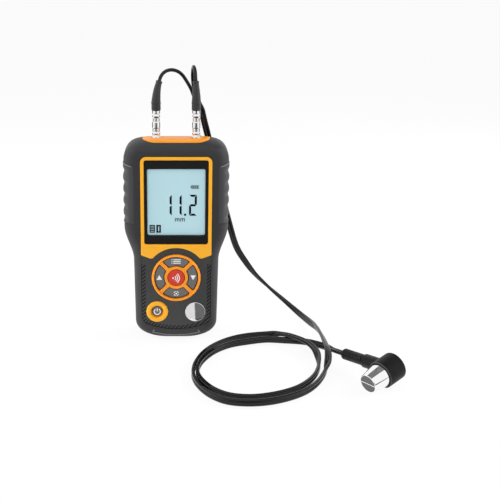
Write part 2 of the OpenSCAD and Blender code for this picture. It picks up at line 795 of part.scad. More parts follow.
module key_frame() {
    rim_r = ring_rim / 2;
    flat_h = recess_y - front_y + frame_proud - rim_r;
    color("#ff9f1e") {
        translate([0, 0, key_z]) slab(recess_y - flat_h, recess_y) difference() {
            circle(d = ring_d - ring_rim);
            quarters(hub_r, ring_in_r, spoke_w);
            circle(d = centre_d + 2 * key_gap);
        }
        turned(0, key_z, recess_y) {
            translate([ring_in_r, 0]) square([ring_rim, flat_h]);
            translate([ring_in_r + rim_r, flat_h]) circle(rim_r);
        }
    }
}

// One sector key: its top is bevelled and a flange keeps it behind the wall
module sector_key(turn) {
    top_y = front_y - key_proud;
    r_in = hub_r + key_gap;
    r_out = ring_in_r - key_gap;
    spoke = spoke_w + 2 * key_gap;
    color("#6c6c6e") translate([0, 0, key_z]) rotate([0, turn, 0]) {
        slab(top_y, top_y + key_bevel)
            quarter(r_in + key_bevel, r_out - key_bevel, spoke + 2 * key_bevel);
        slab(top_y + key_bevel, flange_y + bite) quarter(r_in, r_out, spoke);
        slab(flange_y, flange_y + flange_t)
            quarter(r_in - flange_w, r_out + flange_w, spoke - 2 * flange_w);
        slab(flange_y, plunger_y) translate([0, plunger_r]) circle(d = plunger_d);
    }
}

module key_top() {
    sector_key(0);
}

module key_right() {
    sector_key(90);
}

module key_bottom() {
    sector_key(180);
}

module key_left() {
    sector_key(270);
}

// A round key with a bevelled top, a flange and a plunger
module round_key(x, z, d, proud) {
    top_h = flange_y - front_y + proud;
    turned(x, z, flange_y) polygon([[0, 0], [d / 2, 0], [d / 2, top_h - key_bevel],
        [d / 2 - key_bevel, top_h], [0, top_h]]);
    slab(flange_y, flange_y + flange_t) translate([x, z]) circle(d = d + 2 * flange_w);
    slab(flange_y + bite, plunger_y) translate([x, z]) circle(d = plunger_d);
}

module key_centre() {
    color("#cf3a24") round_key(0, key_z, centre_d, centre_proud);
}

module key_power() {
    color("#77787a") round_key(-row_x, row_z, power_d, power_proud);
}

// A domed ring: straight at its foot and round at its crest
module power_ring() {
    ring_in = power_d / 2 + 2 * key_gap;
    half = (power_ring_d / 2 - ring_in) / 2;
    color("#ff9f1e") turned(-row_x, row_z, recess_y) {
        translate([ring_in, 0]) square([2 * half, inlay_depth]);
        translate([ring_in + half, inlay_depth]) intersection() {
            circle(half);
            translate([-half, 0]) square([2 * half, half]);
        }
    }
}

module test_block() {
    edge = 0.4;
    color("#c9c9cc") turned(row_x, row_z, front_y - test_proud + test_t) polygon([[0, 0], [test_d / 2, 0],
        [test_d / 2, test_t - edge], [test_d / 2 - edge, test_t], [0, test_t]]);
}

// Top of the case

module connector_plate() {
    color("#f6a62b") difference() {
        intersection() {
            case_form();
            plate_zone(0);
        }
        translate([0, 0, -plate_t]) case_form();
        for (side = [-1, 1]) translate([side * socket_x, 0, case_h - crown_h - past])
            cylinder(d = barrel_d + 2 * fit, h = crown_h + 2 * past);
    }
}

// A turned socket: barrel through the top, flange on the plate and a round nose
module socket(side) {
    nose_r = plug_d / 2;
    waist = 0.35;
    color("#c4c5c8") translate([side * socket_x, 0, case_h]) rotate_extrude() {
        polygon([[0, -barrel_len], [barrel_d / 2, -barrel_len], [barrel_d / 2, 0], [socket_flange_d / 2, 0],
            [socket_flange_d / 2, socket_flange_h - waist], [socket_flange_d / 2 - waist, socket_flange_h],
            [nose_r - waist, socket_flange_h], [nose_r, socket_flange_h + nose_h / 3],
            [nose_r, socket_flange_h + 2 * nose_h / 3], [nose_r - waist, socket_flange_h + nose_h],
            [0, socket_flange_h + nose_h]]);
    }
}

module socket_left() {
    socket(-1);
}

module socket_right() {
    socket(1);
}

module socket_nuts() {
    color("#b9babd") for (side = [-1, 1]) translate([side * socket_x, 0, case_h - top_wall - nut_h])
        difference() {
            cylinder(d = nut_af / cos(30), h = nut_h, $fn = 6);
            translate([0, 0, -past]) cylinder(d = barrel_d + 2 * fit, h = nut_h + 2 * past);
        }
}

// A short wire from each socket's tail, bent a quarter turn onto the back of the board
module socket_wires() {
    wire_d = 1.2;
    color("#c23b2e") for (side = [-1, 1]) translate([side * socket_x, board_back_y, case_h - barrel_len])
        rotate([0, 90, 0]) rotate_extrude(angle = 90) translate([-board_back_y, 0]) circle(d = wire_d);
}

// A turned plug: neck, grip sleeve, neck, ball ring and collar
module plug(side) {
    r = plug_d / 2;
    neck = 0.55;
    ball = 3.2;
    collar = 2.3;
    sleeve_low = 2.3;
    sleeve_high = sleeve_low + 4.8;
    ball_low = plug_len - collar - ball;
    edge = 0.3;
    color("#d3d4d7") translate([side * socket_x, 0, plug_low]) rotate_extrude() {
        polygon([[0, 0], [r - edge, 0], [r - edge, sleeve_low], [r, sleeve_low + edge],
            [r, sleeve_high - edge], [r - neck, sleeve_high], [r - neck, ball_low + ball / 4],
            [r, ball_low + ball / 2],
            [r - neck, ball_low + ball], [r - edge, ball_low + ball], [r, ball_low + ball + edge],
            [r, plug_len], [0, plug_len]]);
    }
}

module plug_left() {
    plug(-1);
}

module plug_right() {
    plug(1);
}

// Swept parts

function unit(v) = v / norm(v);

// The broad face of the twin cable stands upright on the floor, and the cable twists as it falls to it
function share(z, span) = ease((span[0] - z) / (span[0] - span[1]));
function cable_normal(p, t) = let (level = unit([t[1], -t[0], 0]), z = p[2],
        twist = 180 * share(z, fall_twist) + 90 * share(z, low_twist) + 90 * share(z, edge_twist))
    level * cos(twist) + cross(t, level) * sin(twist);

function tangent(route, k) = unit(route[min(k + 1, len(route) - 1)] - route[max(k - 1, 0)]);

// A ring of points around a route: a flattened circle of half sizes a across and b up
function ring_at(p, t, normal, a, b, sides) = let (across = unit(cross(normal, t)), up = cross(t, across))
    [for (i = [0 : sides - 1]) let (s = 360 * (i + 0.5) / sides) p + across * a * cos(s) + up * b * sin(s)];

module swept(route, radii, sides, normal) {
    loft([for (k = [0 : len(route) - 1])
        ring_at(route[k], tangent(route, k), normal, radii[k], radii[k], sides)]);
}

// Ring radius at which a many-sided tube is as wide as a round one over its flats
function over_flats(r, sides) = r / cos(180 / sides);

module plug_boot(route) {
    sides = 16;
    taper = [0, 0, 0.38, 0.73, 1];
    color("#3a3b3d")
        swept(route, [for (u = taper) (boot_d + (boot_end_d - boot_d) * u) / 2], sides, [0, -1, 0]);
}

module boot_left() {
    plug_boot(boot_left_route);
}

module boot_right() {
    plug_boot(boot_right_route);
}

module lead(route) {
    sides = 8;
    color("#2c2d2f") swept(route, [for (p = route) strand_d / 2], sides, [1, -1, 0]);
}

module lead_left() {
    lead(lead_left_route);
}

module lead_right() {
    lead(lead_right_route);
}

module twin_cable() {
    sides = 8;
    a = over_flats(strand_d, sides);
    b = over_flats(strand_d / 2, sides);
    last = len(twin_route) - 1;
    color("#2c2d2f") loft([for (k = [0 : last])
        let (t = tangent(twin_route, k))
        ring_at(twin_route[k], t, cable_normal(twin_route[k], t), a, b, sides)]);
}

// Battery

// Outline of the cover: round at its upper corners and straight along its hinge
module cover_outline(low, g) {
    rounded_from(2 * (cover_half + g), low, cover_top + g, cover_r + g);
    square_from(cover_half + g, low, cover_top - cover_r);
}

// The cover swings out about its round lower edge, where two tabs hook behind the back wall
module battery_cover() {
    groove_len = 16;
    groove_w = 1.1;
    groove_depth = 0.5;
    groove_pitch = 2.4;
    groove_top = 7;
    latch_w = 8;
    latch_t = 1.6;
    latch_h = 2.2;
    latch_free = 0.4;
    color("#3f4042") {
        difference() {
            slab(cover_in_y, back_y) cover_outline(hinge_z, 0);
            for (i = [0 : 4]) slab(back_y - groove_depth, back_y + past)
                translate([0, cover_top - groove_top - groove_pitch * i])
                square([groove_len, groove_w], center = true);
        }
        translate([-cover_half, hinge_y, hinge_z]) rotate([0, 90, 0])
            cylinder(r = hinge_r, h = 2 * cover_half);
        for (side = [-1, 1]) {
            translate([side * tab_x - tab_w / 2, tab_front_y, cover_low - tab_toe])
                cube([tab_w, tab_back_y - tab_front_y, tab_toe + tab_root]);
            translate([side * tab_x - tab_w / 2, tab_front_y, cover_low + cover_gap])
                cube([tab_w, cover_in_y + bite - tab_front_y, tab_root - cover_gap]);
        }
        translate([-latch_w / 2, cover_in_y - latch_t, bay_top - latch_free - latch_h])
            cube([latch_w, latch_t + bite, latch_h]);
    }
}

module battery_cells() {
    color("#c9a23a") for (i = [0 : cells - 1]) translate([cell_x(i), cell_y, bay_low + bay_len / 2])
        rotate([i % 2 == 0 ? 0 : 180, 0, 0]) translate([0, 0, cell_low - bay_low - bay_len / 2]) {
            cylinder(r = cell_r, h = cell_len - nipple_h);
            cylinder(d = nipple_d, h = cell_len);
        }
}

function cell_x(i) = (i - (cells - 1) / 2) * cell_pitch;

// A conical spring at the flat end of each cell
module battery_springs() {
    turns = 3;
    steps = 8;
    sides = 5;
    rise = 0.1;
    wide_r = 2.9;
    narrow_r = 1.7;
    free = cell_low - bay_low - contact_t - spring_wire;
    color("#b8b9bc") for (i = [0 : cells - 1]) translate([cell_x(i), contact_y, bay_low + bay_len / 2])
        rotate([i % 2 == 0 ? 0 : 180, 0, 0]) translate([0, 0, contact_t + spring_wire / 2 - bay_len / 2])
        loft([for (k = [0 : turns * steps])
            let (a = 360 * k / steps, u = k / (turns * steps), r = wide_r + (narrow_r - wide_r) * u)
            ring_at([r * cos(a), r * sin(a), free * u], unit([-sin(a), cos(a), rise]), [0, 0, 1],
                spring_wire / 2, spring_wire / 2, sides)]);
}

module contact_plates() {
    color("#cfcfd2") for (i = [0 : cells - 1]) for (z = [bay_low, bay_top - contact_t])
        translate([cell_x(i) - contact_w / 2, contact_y - contact_w / 2, z])
        cube([contact_w, contact_w, contact_t]);
}

module case_screws() {
    slot_len = 3;
    slot_w = 0.7;
    slot_depth = 0.9;
    color("#8d8e91") for (p = screw_spots) translate([p[0], screw_seat_y, p[1]]) rotate([-90, 0, 0])
    difference() {
        union() {
            cylinder(d = screw_head_d, h = screw_head_h);
            translate([0, 0, -screw_len]) cylinder(d = screw_d, h = screw_len);
        }
        for (turn = [0, 90]) rotate(turn) translate([-slot_len / 2, -slot_w / 2, screw_head_h - slot_depth])
            cube([slot_len, slot_w, past]);
    }
}

// Probe: drawn along X from its face, then laid on the floor

module probe_place() {
    translate(probe_face) rotate([0, -probe_tilt, probe_heading]) children();
}

module along_probe(x) {
    probe_place() translate([x, 0, 0]) rotate([0, 90, 0]) children();
}

module probe_shell() {
    spigot_r = cone_d / 2 - spigot_step;
    bore_r = delay_d / 2 + fit;
    color("#d8d9dc") along_probe(0) rotate_extrude() polygon([[bore_r, 0], [face_r, 0],
        [cone_d / 2, cone_len], [spigot_r, cone_len], [spigot_r, cone_len + shell_in_cap],
        [bore_r, cone_len + shell_in_cap]]);
}

module probe_cap() {
    spigot_r = cone_d / 2 - spigot_step + fit;
    edge = 1;
    color("#2e2f31") difference() {
        along_probe(cone_len) rotate_extrude() {
            difference() {
                union() {
                    square([cap_r, cap_len - edge]);
                    square([cap_r - edge, cap_len]);
                    translate([cap_r - edge, cap_len - edge]) circle(edge);
                }
                square([spigot_r, cap_len - cap_wall]);
            }
        }
        boot_place() cylinder(d = boot_neck_d + 2 * fit, h = cap_d);
    }
}

module boot_place() {
    probe_place() translate([boot_at, 0, 0]) rotate([-90 - boot_dip, 0, 0]) children();
}

// The boot starts with a saddle that fits the cap and ends with three rings around the cable
module probe_boot() {
    r = boot_thin_d / 2;
    thick_r = boot_thick_d / 2;
    neck_r = boot_neck_d / 2;
    root = cone_d / 2;
    saddle = cap_r - 1.6;
    groove = 0.35;
    groove_pitch = 2.4;
    groove_half = 0.6;
    groove_flat = 0.3;
    edge = 0.5;
    color("#2b2c2e") difference() {
        boot_place() rotate_extrude() polygon(concat([[0, root], [neck_r, root], [neck_r, saddle],
            [thick_r, saddle], [thick_r, boot_thick_reach - 2 * edge], [r, boot_thick_reach]],
            [for (k = [3 : -1 : 1]) for (p = [[r, -groove_half], [r - groove, -groove_flat],
                [r - groove, groove_flat], [r, groove_half]]) [p[0], boot_reach - groove_pitch * k + p[1]]],
            [[r, boot_reach - edge], [r - edge, boot_reach], [0, boot_reach]]));
        along_probe(cone_len) difference() {
            cylinder(r = cap_r, h = cap_len);
            translate([0, 0, boot_at - cone_len]) rotate([90, 0, -boot_dip]) translate([0, 0, -cap_d])
                cylinder(d = boot_neck_d, h = 2 * cap_d);
        }
    }
}

// One half of a disc in the face, on one side of the barrier
module half_disc(side, x, r, t) {
    along_probe(x) linear_extrude(t) intersection() {
        circle(r);
        translate([side > 0 ? barrier_t / 2 : -barrier_t / 2 - r, -r]) square([r, 2 * r]);
    }
}

module delay_lines() {
    color("#6f7073") for (side = [-1, 1]) half_disc(side, 0, delay_d / 2, delay_len);
}

module acoustic_barrier() {
    half = delay_d / 2;
    width = 2 * sqrt(half * half - barrier_t * barrier_t / 4);
    color("#d9d2c0") along_probe(0) translate([-barrier_t / 2, -width / 2, 0])
        cube([barrier_t, width, delay_len + crystal_t]);
}

module crystals() {
    color("#c8b27a") for (side = [-1, 1]) half_disc(side, delay_len, delay_d / 2 - crystal_edge, crystal_t);
}

module probe_backing() {
    color("#54504a") along_probe(delay_len + crystal_t)
        cylinder(d = delay_d, h = cone_len + shell_in_cap - delay_len - crystal_t);
}

front_case();
back_case();
side_grip_left();
side_grip_right();
window_bezel();
display_window();
lower_panel();
lcd_panel();
backlight();
main_board();
key_mat();
key_frame();
key_top();
key_right();
key_bottom();
key_left();
key_centre();
power_ring();
key_power();
test_block();
connector_plate();
socket_left();
socket_right();
socket_nuts();
socket_wires();
plug_left();
plug_right();
boot_left();
boot_right();
lead_left();
lead_right();
twin_cable();
battery_cover();
battery_cells();
battery_springs();
contact_plates();
case_screws();
probe_shell();
probe_cap();
probe_boot();
delay_lines();
acoustic_barrier();
crystals();
probe_backing();
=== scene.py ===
import math

import bmesh
import bpy
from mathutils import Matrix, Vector


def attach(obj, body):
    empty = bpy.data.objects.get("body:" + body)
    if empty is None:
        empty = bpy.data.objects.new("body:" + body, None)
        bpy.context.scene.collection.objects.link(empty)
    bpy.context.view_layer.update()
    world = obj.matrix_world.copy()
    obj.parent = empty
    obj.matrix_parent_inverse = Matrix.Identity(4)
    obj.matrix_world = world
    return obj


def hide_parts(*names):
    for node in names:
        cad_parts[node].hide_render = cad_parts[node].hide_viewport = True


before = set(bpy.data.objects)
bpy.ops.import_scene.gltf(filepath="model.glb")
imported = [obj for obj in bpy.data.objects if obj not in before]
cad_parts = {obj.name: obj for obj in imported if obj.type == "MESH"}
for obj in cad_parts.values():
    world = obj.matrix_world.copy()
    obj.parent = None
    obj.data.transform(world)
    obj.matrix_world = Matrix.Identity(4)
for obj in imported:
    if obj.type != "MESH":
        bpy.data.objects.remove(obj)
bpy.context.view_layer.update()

scene = bpy.context.scene
scene.view_settings.view_transform = "Standard"

# Camera: it stands in front of the meter and looks down on it by 16.9 degrees.
# The meter is left of the middle of the frame, so the sensor is shifted and the camera isn't turned.
lens = bpy.data.cameras.new("camera")
lens.sensor_width = 36
lens.lens = 66.0
lens.shift_x = 0.1476


def linked(name, data):
    """A new object in the scene."""
    obj = bpy.data.objects.new(name, data)
    scene.collection.objects.link(obj)
    return obj


camera = linked("camera", lens)
camera.location = (0, -0.6392, 0.2576)
camera.rotation_euler = (math.radians(90 - 16.903), 0, 0)
scene.camera = camera

# The two leads: a thin coaxial lead rises out of each plug's boot, bends over and comes down behind the meter.
# Their sheaths are extruded soft PVC, and the two are welded side by side where the twin cable starts.
# The black PVC is smooth, so a narrow gloss runs along it.
MM = 0.001


def lin(code):
    """An sRGB hex value as linear RGBA."""
    parts = [int(code[i:i + 2], 16) / 255 for i in (1, 3, 5)]
    return [c / 12.92 if c <= 0.04045 else ((c + 0.055) / 1.055) ** 2.4 for c in parts] + [1.0]


def feed(node, sockets):
    """Gives each socket of a node its value, or a link where an output is given."""
    for key, value in sockets.items():
        if isinstance(value, bpy.types.NodeSocket):
            node.id_data.links.new(value, node.inputs[key])
        else:
            node.inputs[key].default_value = value


def put(tree, kind, sockets=None, **settings):
    """Adds a node with its settings."""
    node = tree.nodes.new(kind)
    for name, value in settings.items():
        setattr(node, name, value)
    feed(node, sockets or {})
    return node


def plain(name):
    """A new material, with its node tree and its shader."""
    material = bpy.data.materials.new(name)
    material.use_nodes = True
    return material, material.node_tree, material.node_tree.nodes["Principled BSDF"]


def surface(tree, shader, colour, mix, shares, slow, gloss, fine, relief):
    """A tone between two shares of a colour, gloss that changes slowly between two values, and a fine relief."""
    a, b = [[min(1.0, c * part) for c in lin(colour)[:3]] + [1.0] for part in shares]
    tone = put(tree, "ShaderNodeMix", {"Factor": mix, "A": a, "B": b}, data_type="RGBA")
    sheen = put(tree, "ShaderNodeMapRange", {"Value": slow, "From Min": 0.3, "From Max": 0.7, "To Min": gloss[0],
                                             "To Max": gloss[1]})
    bump = put(tree, "ShaderNodeBump", {"Height": fine, "Strength": relief[0], "Distance": relief[1] * MM})
    feed(shader, {"Base Color": tone.outputs["Result"], "Roughness": sheen.outputs["Result"],
                  "Normal": bump.outputs["Normal"]})


def moulded(name, colour, roughness, grain_mm, depth_mm, tint=0.12, ior=1.5):
    """A moulded or extruded plastic or rubber: a fine grain from the tool, and a slow change of tone and gloss."""
    material, tree, shader = plain(name)
    where = put(tree, "ShaderNodeTexCoord").outputs["Object"]
    # A tool's real grain of about 0.1 mm is too fine to show, so it is drawn as coarse as it needs to be.
    grain = put(tree, "ShaderNodeTexNoise", {"Vector": where, "Scale": 1 / (grain_mm * MM), "Detail": 3.0,
                                             "Roughness": 0.6}).outputs["Fac"]
    cloud = put(tree, "ShaderNodeTexNoise", {"Vector": where, "Scale": 1 / (9 * MM), "Detail": 2.0}).outputs["Fac"]
    both = put(tree, "ShaderNodeMath", {0: grain, 1: 0.5}, operation="MULTIPLY").outputs[0]
    both = put(tree, "ShaderNodeMath", {0: cloud, 1: 0.5, 2: both}, operation="MULTIPLY_ADD").outputs[0]
    surface(tree, shader, colour, both, (1 - tint, 1 + tint), cloud, (roughness - 0.05, roughness + 0.05), grain,
            (0.6, depth_mm))
    feed(shader, {"IOR": ior})
    return material


def made(name, material, *solids):
    """An object from one or more solids in millimetres, with its faces turned outwards."""
    bm = bmesh.new()
    for verts, faces in solids:
        spots = [bm.verts.new(Vector(v) * MM) for v in verts]
        for face in faces:
            bm.faces.new([spots[i] for i in face])
    bmesh.ops.recalc_face_normals(bm, faces=bm.faces[:])
    mesh = bpy.data.meshes.new(name)
    bm.to_mesh(mesh)
    bm.free()
    if material:
        mesh.materials.append(material)
    return linked(name, mesh)


def shaded(obj, sharp=35):
    """Shades an object smooth up to the sharp angle."""
    obj.data.polygons.foreach_set("use_smooth", [True] * len(obj.data.polygons))
    obj.data.set_sharp_from_angle(angle=math.radians(sharp))


def settle(obj, slot, *nodes, body="meter", sharp=35):
    """Shades a made object, ties it to its body and hides the CAD nodes that it stands for; its slot is not used."""
    shaded(obj, sharp)
    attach(obj, body)
    if nodes:
        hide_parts(*nodes)
    return obj


def loft(rings):
    """The points and faces of a solid through rings of as many points each."""
    n = len(rings[0])
    faces = [list(range(n))[::-1], [(len(rings) - 1) * n + i for i in range(n)]]
    for k in range(len(rings) - 1):
        for i in range(n):
            a, b = k * n + i, k * n + (i + 1) % n
            faces.append((a, b, b + n, a + n))
    return [p for ring in rings for p in ring], faces


def eased(route, step):
    """A smooth line through the route's points, with a point about every step millimetres."""
    pts = [Vector(p) for p in route]
    pts = [2 * pts[0] - pts[1]] + pts + [2 * pts[-1] - pts[-2]]
    knots = [0.0]
    for a, b in zip(pts, pts[1:]):
        knots.append(knots[-1] + (b - a).length ** 0.5)

    def between(a, b, ta, tb, t):
        return a * ((tb - t) / (tb - ta)) + b * ((t - ta) / (tb - ta))

    line = []
    for k in range(1, len(pts) - 2):
        p, q = pts[k - 1:k + 3], knots[k - 1:k + 3]
        count = max(2, round((p[2] - p[1]).length / step))
        for i in range(count):
            t = q[1] + (q[2] - q[1]) * i / count
            a = [between(p[j], p[j + 1], q[j], q[j + 1], t) for j in range(3)]
            b = [between(a[j], a[j + 1], q[j], q[j + 2], t) for j in range(2)]
            line.append(between(b[0], b[1], q[1], q[2], t))
    return line + [pts[-2]]


def directions(line):
    return [(line[min(k + 1, len(line) - 1)] - line[max(k - 1, 0)]).normalized() for k in range(len(line))]


def round_rings(line, radii, sides):
    """Round sections along a line, turned as little as possible from one to the next."""
    rings, across = [], Vector((0.7, -0.7, 0.1))
    for p, t, r in zip(line, directions(line), radii):
        across = (across - t * across.dot(t)).normalized()
        up = t.cross(across)
        rings.append([p + (across * math.cos(s) + up * math.sin(s)) * r
                      for s in (2 * math.pi * i / sides for i in range(sides))])
    return rings


def tube(line, r, sides):
    """A round solid of even thickness along a line."""
    return loft(round_rings(line, [r] * len(line), sides))


def length_of(line):
    return sum((b - a).length for a, b in zip(line, line[1:]))


sheath = moulded("extruded PVC sheath, black", "#0f0f10", 0.2, 0.5, 0.006, ior=1.42)
strand_r = 1.25


def laid(name, solid, sharp):
    """A cord along its line, with its sheath."""
    obj = settle(made(name + "_sheath", sheath, solid), "cable_sheath", name, sharp=sharp)


lead_routes = {
    "lead_left": [
        (-11.6, 1.1, 185.3), (-11.05, 1.3, 187.21), (-9.7, 2, 189.6), (-7.2, 2.9, 191.6), (-3.2, 4.4, 192.4),
        (1.2, 6.2, 191.1), (4.3, 7.7, 188.5), (7.4, 9.8, 183.9), (10.3, 12, 178.6), (13, 15, 171.5),
        (17.141, 18.518, 162.042), (18.09, 18.924, 158.177)],
    "lead_right": [
        (13.5, 0.2, 185.3), (13.395, 0.253, 187.297), (13.1, 0.9, 191.4), (12.6, 2.9, 193.6), (12.2, 5.8, 194.4),
        (11.9, 8.7, 193.6), (11.6, 10.8, 191.2), (11.5, 12.2, 186.6), (12.2, 14, 180), (14.2, 16.4, 173.6),
        (16.9, 18.2, 167.7), (19.361, 19.469, 162.687), (20.31, 19.876, 158.823)],
}
for name, route in lead_routes.items():
    line = eased(route, 1.0)
    laid(name, tube(line, strand_r, 16), 50)

# The twin cable: two strands side by side in one sheath, with a groove between them.
# It twists as it falls behind the meter, stands on its edge in two open loops and ends in the probe's boot.
twin_route = [
    (19.2, 19.4, 158.5), (20.6, 20, 152.8), (23, 21, 143.5), (28, 25, 122), (34, 30, 98), (41, 36, 71.5),
    (47, 42, 52.5), (54, 45, 40.5), (62, 47, 29.5), (73.5, 46, 18.5), (84, 41, 10.4), (91, 34.5, 5.8),
    (96, 26.5, 3.4), (101, 10.5, 3.4), (103.4, -6, 5.6), (104.4, -25, 7.6), (104.5, -43.3, 8.4),
    (104.4, -54.6, 8.6), (103.5, -63.4, 7), (101.5, -72.3, 4.8), (98.1, -81.9, 3), (91, -96.7, 2.5),
    (82.4, -108, 2.5), (71, -116.8, 2.5), (57.5, -122.8, 2.5), (43.9, -124.5, 2.5), (31.3, -121.8, 2.5),
    (21.9, -113.4, 2.5), (15, -100.8, 2.5), (11.6, -87.6, 2.5), (11.5, -75.6, 2.5), (13.9, -62.3, 2.5),
    (19.3, -47.4, 2.5), (27.4, -34.4, 2.5), (38, -23.8, 2.5), (51.1, -16.6, 2.5), (66.4, -14.3, 3.0),
    (77.4, -21.7, 6.3), (86.2, -29.3, 6.7), (92.8, -38.1, 6.6), (96.7, -48.4, 5.8), (97.4, -60.9, 3.9),
    (96, -70.8, 2.7), (91.2, -85.1, 2.5), (84.2, -96.7, 2.5), (75.8, -105.6, 2.5), (62.5, -113.4, 2.5),
    (47.2, -117.4, 2.5), (33.7, -115, 2.5), (24.5, -107.2, 2.5), (18.1, -95.9, 2.5), (14.8, -85.1, 2.5),
    (14.3, -75.6, 2.5), (16.6, -64.1, 2.5), (22.1, -51.2, 2.5), (29.5, -40.3, 2.5), (39.2, -31.8, 2.5),
    (51.2, -26.6, 2.5), (65.5, -22.6, 2.5), (78, -24, 2.5), (88, -25.8, 2.6), (96, -29.6, 3), (103.6, -35.8, 3.2),
    (110.307, -54.438, 7.164), (114.97, -60.903, 7.841)]
line = [Vector((p.x, p.y, max(p.z, 2 * strand_r))) for p in eased(twin_route, 2.5)]
turns = ((0, 0), (60, 28), (125, 32), (140, 58), (156, 72), (170, 80), (181, 90), (190, 104), (207, 128), (224, 192),
         (243, 213), (261, 226), (273, 240), (285, 270))


def arc(x, z, r, start, stop, steps):
    """Points of a circle, between two angles in degrees."""
    return [(x + r * math.cos(a), z + r * math.sin(a))
            for a in (math.radians(start + (stop - start) * i / steps) for i in range(steps + 1))]


def share(value, low, span):
    """From 0 to 1 while a value goes through a span."""
    return min(1.0, max(0.0, (value - low) / span))


def soft_step(value, low, span):
    """The same, with soft ends."""
    u = share(value, low, span)
    return u * u * (3 - 2 * u)


def twist_at(run, z):
    """The turn of the sheath in degrees: by its run in millimetres as it falls, later flat only where it is high."""
    for (a, low), (b, high) in zip(turns, turns[1:]):
        if run < b:
            return low + (high - low) * (run - a) / (b - a)
    return turns[-1][1] + 90 * soft_step(6.4 - z, 0, 3.8)


web = 20
lobe = arc(strand_r, 0, strand_r, web - 180, 180 - web, 11)
outline = lobe + [(-a, -b) for a, b in lobe]
rings = []
for k, (p, t) in enumerate(zip(line, directions(line))):
    level = Vector((t.y, -t.x, 0)).normalized()
    twist = math.radians(twist_at(length_of(line[:k + 1]), p.z))
    across = (level * math.cos(twist) + t.cross(level) * math.sin(twist)).cross(t).normalized()
    up = t.cross(across)
    rings.append([p + across * a + up * b for a, b in outline])
laid("twin_cable", loft(rings), 60)

# Table and light: a white table top that runs out of the frame and glows a little, which lights the undersides.
# Two side lamps stand slightly behind the object, with a weak one above it and a broad weak one in front.
# No lamp shows in reflections, and only the object's shadow shows on the table.
bpy.ops.mesh.primitive_plane_add(size=40, location=(0, 8, -0.0002))
table = bpy.context.object
table.name = "table"
white, tree, shader = plain("white laminate")
feed(shader, {"Base Color": lin("#f4f4f4"), "Roughness": 0.8})
path = put(tree, "ShaderNodeLightPath").outputs
seen = put(tree, "ShaderNodeMath", {0: path["Is Camera Ray"], 1: path["Is Glossy Ray"]}, operation="MAXIMUM")
part = put(tree, "ShaderNodeMapRange", {"Value": seen.outputs[0], "To Min": 0.4, "To Max": 0.9})
glow = put(tree, "ShaderNodeEmission", {"Color": (1, 1, 1, 1), "Strength": 1.0})
blend = put(tree, "ShaderNodeMixShader", {0: part.outputs[0], 1: shader.outputs[0], 2: glow.outputs[0]})
feed(tree.nodes["Material Output"], {"Surface": blend.outputs[0]})
table.data.materials.append(white)

room = bpy.data.worlds.new("white room")
room.use_nodes = True
tree = room.node_tree
path = put(tree, "ShaderNodeLightPath").outputs
seen = put(tree, "ShaderNodeMath", {0: path["Is Camera Ray"], 1: path["Is Glossy Ray"]}, operation="MAXIMUM")
seen = put(tree, "ShaderNodeMath", {0: seen.outputs[0], 1: path["Is Transmission Ray"]}, operation="MAXIMUM")
level = put(tree, "ShaderNodeMapRange", {"Value": seen.outputs[0], "To Min": 0.5, "To Max": 1.0})
feed(tree.nodes["Background"], {"Color": (1, 1, 1, 1), "Strength": level.outputs[0]})
scene.world = room
middle = Vector((0.03, -0.03, 0.06))
for name, kind, place, size, power in (
        ("right_lamp", "AREA", (0.9, 0.2, 0.3), 0.7, 15.0), ("left_lamp", "AREA", (-0.9, 0.12, 0.3), 0.7, 11.0),
        ("top_lamp", "AREA", (0.0, 0.25, 1.1), 0.3, 1.0), ("key_lamp", "SUN", (-0.27, -1.03, 0.71), 40, 0.76)):
    lamp = bpy.data.lights.new(name, kind)
    lamp.energy = power
    if kind == "SUN":
        lamp.angle = math.radians(size)
    else:
        lamp.size = size
    obj = linked(name, lamp)
    obj.location = place
    obj.rotation_euler = (middle - Vector(place)).to_track_quat("-Z", "Y").to_euler()
    obj.visible_glossy = False

# Cards: they stand and lie round the object, and only reflections see them.
# The black ones give the bright metal its dark stripes, as a photographer's flags do, and a grey one hangs over the
# probe. A white and a grey one lie before the test disc, which mirrors them.
cloths = {}
for name, colour in (("black", "#161616"), ("grey", "#5a5a5a"), ("white", "#cdcdcd")):
    cloths[name], tree, shader = plain(name + " cloth")
    feed(shader, {"Base Color": lin(colour), "Roughness": 1.0})
for name, cloth, size, place, turn in (
        ("card_front", "black", (1.2, 0.62), (0, -0.437, 0.001), (0, 0, 0)),
        ("card_far", "black", (0.8, 0.7), (0, -1.1, 0.001), (0, 0, 0)),
        ("card_left", "black", (0.34, 0.12), (-0.4, 0.2, 0.09), (90, 0, 63)),
        ("card_right", "black", (0.34, 0.12), (0.4, 0.2, 0.09), (90, 0, -63)),
        ("card_over", "grey", (0.66, 0.6), (0.355, 0.16, 0.6), (0, 0, -57)),
        ("card_disc_left", "white", (0.03, 0.06), (-0.0005, -0.073, 0.0065), (0, 0, 0)),
        ("card_disc_right", "grey", (0.03, 0.06), (0.0297, -0.073, 0.0065), (0, 0, 0))):
    bpy.ops.mesh.primitive_plane_add(size=1, location=place, rotation=[math.radians(a) for a in turn])
    card = bpy.context.object
    card.name = name
    card.scale = (*size, 1)
    card.data.materials.append(cloths[cloth])
    card.visible_camera = card.visible_diffuse = card.visible_shadow = card.visible_transmission = False

